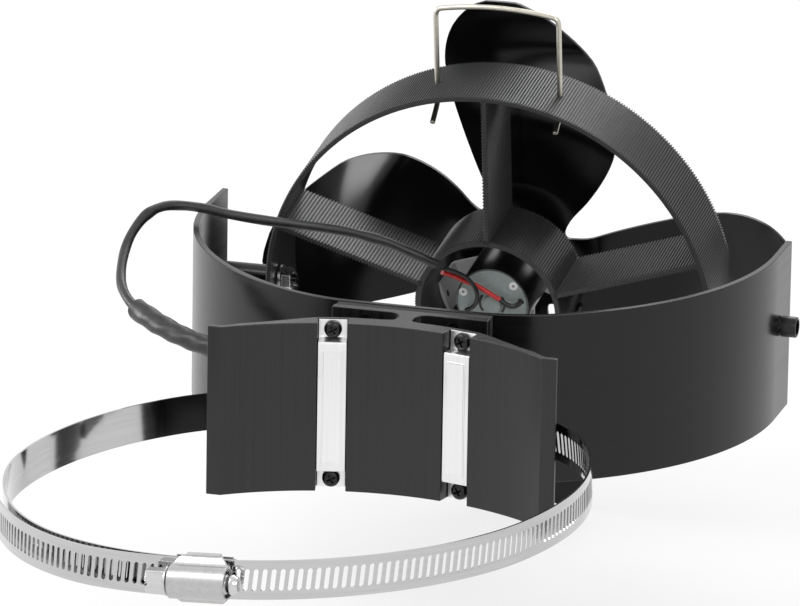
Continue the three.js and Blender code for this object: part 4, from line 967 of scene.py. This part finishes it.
def make_band():
    """The band with its fine slanted slots, from the tongue round to the tail.

    A station is (angle, slot), where slot is True at a slot's first side, False at its second
    side and None where there is no slot."""
    pitch, wide = math.degrees(SLOT_PITCH / BAND_MEAN), math.degrees(SLOT_WIDTH / BAND_MEAN)
    slant = math.degrees(SLOT_SLANT / BAND_MEAN) / SLANT_OVER
    tongue, tail = BAND_LINE[0][0], BAND_LINE[-1][0]
    stations = [(tongue - 2 * k, None) for k in range(113)]
    angle = FIRST_SLOT
    while angle > tail + 2 * pitch:
        stations += [(angle, True), (angle - wide, False)]
        angle -= pitch
    stations.append((tail, None))
    points, index = [], {}

    def point(station, level, face):
        key = (station, level, face)
        if key not in index:
            angle, slot = stations[station]
            z = LEVELS[level]
            narrow = END_NARROWING if level in (1, 4) and slot is not None else 0
            turn = angle + (0 if slot is None else slant * z - (1 if slot else -1) * narrow * wide)
            r = band_radius(angle) + (face - 0.5) * BAND_SHEET
            index[key] = len(points)
            points.append((r * math.cos(math.radians(turn)), r * math.sin(math.radians(turn)), z))
        return index[key]

    faces = []
    last = len(stations) - 1
    for i in range(last):
        hole = stations[i][1] is True
        for row in range(5):
            a, b = row, row + 1
            if hole and row in (1, 2, 3):
                if row == 1:
                    faces.append((point(i, a, 0), point(i + 1, a, 0), point(i + 1, a, 1), point(i, a, 1)))
                if row == 3:
                    faces.append((point(i, b, 0), point(i, b, 1), point(i + 1, b, 1), point(i + 1, b, 0)))
                for j in (i, i + 1):
                    faces.append((point(j, a, 0), point(j, a, 1), point(j, b, 1), point(j, b, 0)))
                continue
            faces.append((point(i, a, 1), point(i, b, 1), point(i + 1, b, 1), point(i + 1, a, 1)))
            faces.append((point(i, a, 0), point(i + 1, a, 0), point(i + 1, b, 0), point(i, b, 0)))
        faces.append((point(i, 5, 0), point(i + 1, 5, 0), point(i + 1, 5, 1), point(i, 5, 1)))
        faces.append((point(i, 0, 0), point(i, 0, 1), point(i + 1, 0, 1), point(i + 1, 0, 0)))
    for i in (0, last):
        for row in range(5):
            faces.append((point(i, row, 0), point(i, row, 1), point(i, row + 1, 1), point(i, row + 1, 0)))
    made = mesh_object("band", (points, faces), CLAMP, sharp=30)
    own(made, "band_steel", "clamp", "clamp_band", slot="stainless")


def make_housing():
    """The worm's housing: a pressed half-pipe over the worm, legs folded round the band, a plate below."""
    half, foot = 8.75, 7.2

    def half_pipe(side_line, radius):
        line = [(-x, y) for x, y in side_line] + arc(0, WORM_LIFT, radius, 188, -8, 30)
        return line + side_line[::-1]

    outer = half_pipe([(foot, 1.75), (foot, 2.5), (6.9, 3.05), (6.2, 3.6), (5.4, 4.3)], 5.1)
    inner = half_pipe([(6.4, 1.75), (6.4, 2.3), (6.2, 2.5), (5.6, 3), (4.6, 4)], 4.25)
    legs = []
    for side in (-1, 1):
        leg = [(foot, -1.3), (foot, 2.4), (6.45, 2.4), (6.45, -0.9), (5.6, -1.15)]
        leg += [(5.6, -1.75), (6.75, -1.75)]
        legs.append(prism([(side * x, y) for x, y in leg[::side]], -5.2, 5.2))
    plate = prism([(-6.3, -1.75), (6.3, -1.75), (6.3, -1.2), (-6.3, -1.2)], -half, half)
    # the outline's x runs down the band's width and its y outwards; the housing's length lies along the band
    stand = ON_LOOP @ Matrix(((0, 0, 1, 0), (0, 1, 0, 0), (-1, 0, 0, 0), (0, 0, 0, 1)))
    made = mesh_object("housing", strip(outer, inner, -half, half), stand, sharp=CREASE)
    corners = []
    for side in (-1, 1):
        for end in (-1, 1):
            turned = Matrix.Translation((side * foot, 0, end * half)) @ Matrix.Rotation(math.pi / 4, 4, "Y")
            corners.append(moved(block(3.4, 30, 3.4), turned))
    cut(made, *corners, place=stand, sharp=CREASE)
    join_into(made, mesh_object("legs", joined(*legs, plate), stand, sharp=CREASE))
    own(bevel(made, 0.3, 30, 3), "housing_steel", "clamp", "clamp_housing", slot="stainless")


def worm_thread():
    """The screw's core with a rounded helical ridge that fades out at both ends."""
    length, start, lead, run_out = 17.9, -9.25, 2.4, 1.2
    core, height = 3.0, 0.9
    sides, steps = 32, 180
    rows = []
    for i in range(steps + 1):
        along = length * i / steps
        ends = smooth(along / run_out) * smooth((length - along) / run_out)
        row = []
        for s in range(sides):
            turn = 2 * math.pi * s / sides
            phase = (along / lead + s / sides) % 1
            ridge = smooth(1 - abs(phase - 0.5) / 0.36)
            r = core + height * ridge * ends
            row.append((start + along, r * math.cos(turn), r * math.sin(turn)))
        rows.append(row)
    return grid(rows, caps=True)


def make_worm():
    """The worm screw along its own axis, with its thread, tip and collar and a slotted hex head."""
    tip = [(0, 8.6), (2.6, 8.6), (2.6, 9.0), (3, 9.9), (3, 10.8), (2.2, 12.2), (1.2, 12.45), (0, 12.5)]
    collar = [(0, -10.15), (4.2, -10.15), (4.5, -9.95), (4.5, -9.5), (4.2, -9.3), (0, -9.3)]
    head_end, across_flats = -16.15, 7
    rows = []
    for height, scale in ((head_end, 0.82), (-15.7, 1.0), (-9.7, 1.0)):
        corner = scale * (across_flats / math.sqrt(3))
        turns = [math.pi * k / 3 for k in range(6)]
        rows.append([(height, corner * math.cos(turn), corner * math.sin(turn)) for turn in turns])
    hexagon = grid(rows, caps=True)
    place = ON_LOOP @ Matrix.Rotation(math.pi, 4, "Y") @ Matrix.Translation((0, WORM_LIFT, 0))
    head = mesh_object("head", hexagon, place)
    cut(head, block(2.4, 10, 1.3, head_end, 0, 0), place=place)
    turned = [moved(lathe(tip, 32), TO_RIGHT), moved(lathe(collar, 40), TO_RIGHT)]
    made = mesh_object("worm", joined(worm_thread(), *turned), place)
    join_into(made, head)
    own(bevel(made, 0.12, 45, 1), "stainless", "worm", "worm_screw")


# ---------------------------------------------------------------- hidden stack
def make_stack():
    refined("thermoelectric_module", "ceramic", 0.1)
    for word in ("hot", "cold"):
        refined("thermal_pad_" + word, "graphite", 0)
    refined("insulation_frame", "insulator", 0.15)
    refined("module_wire_red", "wire_red", 0)
    refined("module_wire_black", "wire_black", 0)


make_saddle()
make_magnets()
make_shell()
make_ring()
make_propeller()
make_motor()
make_pivot()
make_bail()
make_band()
make_housing()
make_worm()
make_stack()


# ---------------------------------------------------------------- floor and light
FLOOR_HALF, FLOOR_GAP = 6, 0.001
# the floor's own white: its share near the part and from FLOOR_FAR on, distances in metres
FLOOR_NEAR, FLOOR_FAR, NEAR_SHARE = 0.4, 2, 0.72
WORLD_LIGHT = 0.55
# name, place and side in metres, power in watts
LAMPS = (
    ("key", (-0.9, -0.7, 1.3), 0.9, 12), ("fill", (0.8, -1.1, 0.85), 0.8, 5),
    ("back", (0.1, 1.3, 1.1), 0.8, 7), ("side", (-1.3, 0.1, 0.28), 0.5, 7),
)
LAMPS_AIM = Vector((0, 0.05, 0))


def seen_rays(tree):
    """1 for the rays that see a background: camera, glossy and transmission rays."""
    rays = tree.nodes.new("ShaderNodeLightPath").outputs
    seen = rays["Is Camera Ray"]
    for kind in ("Is Glossy Ray", "Is Transmission Ray"):
        larger = tree.nodes.new("ShaderNodeMath")
        larger.operation = "MAXIMUM"
        tree.links.new(seen, larger.inputs[0])
        tree.links.new(rays[kind], larger.inputs[1])
        seen = larger.outputs[0]
    return seen


def make_floor():
    """A plain pale floor that shades off near the part and is plain white further out."""
    data = bpy.data.meshes.new("floor")
    low = cad_low.z - FLOOR_GAP
    data.from_pydata([(x * FLOOR_HALF, y * FLOOR_HALF, low) for x, y in CORNERS], [], [(0, 1, 2, 3)])
    floor = bpy.data.objects.new("floor", data)
    bpy.context.scene.collection.objects.link(floor)
    made = Nodes("floor")
    made.set("Base Color", grey(252))
    made.set("Roughness", 0.95)
    glow = made.add("Emission", inputs={"Color": (1, 1, 1, 1), "Strength": 1.0})
    where = made.add("TexCoord").outputs["Object"]
    away = made.add("VectorMath", {"operation": "LENGTH"}, {0: where}).outputs["Value"]
    white = made.span(away, FLOOR_NEAR, FLOOR_FAR, NEAR_SHARE, 1)
    share = made.math("MULTIPLY", seen_rays(made.tree), white)
    mix = made.add("MixShader", inputs={"Fac": share})
    made.tree.links.new(made.shader.outputs["BSDF"], mix.inputs[1])
    made.tree.links.new(glow.outputs["Emission"], mix.inputs[2])
    made.tree.links.new(mix.outputs["Shader"], made.tree.nodes["Material Output"].inputs["Surface"])
    data.materials.append(made.material)


def make_world():
    """White where a ray sees the background, and dimmer where it only lights the part."""
    world = bpy.data.worlds.new("world")
    bpy.context.scene.world = world
    world.use_nodes = True
    tree = world.node_tree
    background = tree.nodes["Background"]
    background.inputs["Color"].default_value = (1, 1, 1, 1)
    strength = tree.nodes.new("ShaderNodeMapRange")
    strength.inputs["To Min"].default_value = WORLD_LIGHT
    strength.inputs["To Max"].default_value = 1.0
    tree.links.new(seen_rays(tree), strength.inputs["Value"])
    tree.links.new(strength.outputs["Result"], background.inputs["Strength"])


def make_lamps():
    for name, place, side, power in LAMPS:
        light = bpy.data.lights.new(name, "AREA")
        light.size = side
        light.energy = power
        lamp = bpy.data.objects.new(name, light)
        lamp.location = place
        lamp.rotation_euler = (LAMPS_AIM - Vector(place)).to_track_quat("-Z", "Y").to_euler()
        bpy.context.scene.collection.objects.link(lamp)


make_floor()
make_world()
make_lamps()
bpy.context.scene.view_settings.view_transform = "Standard"
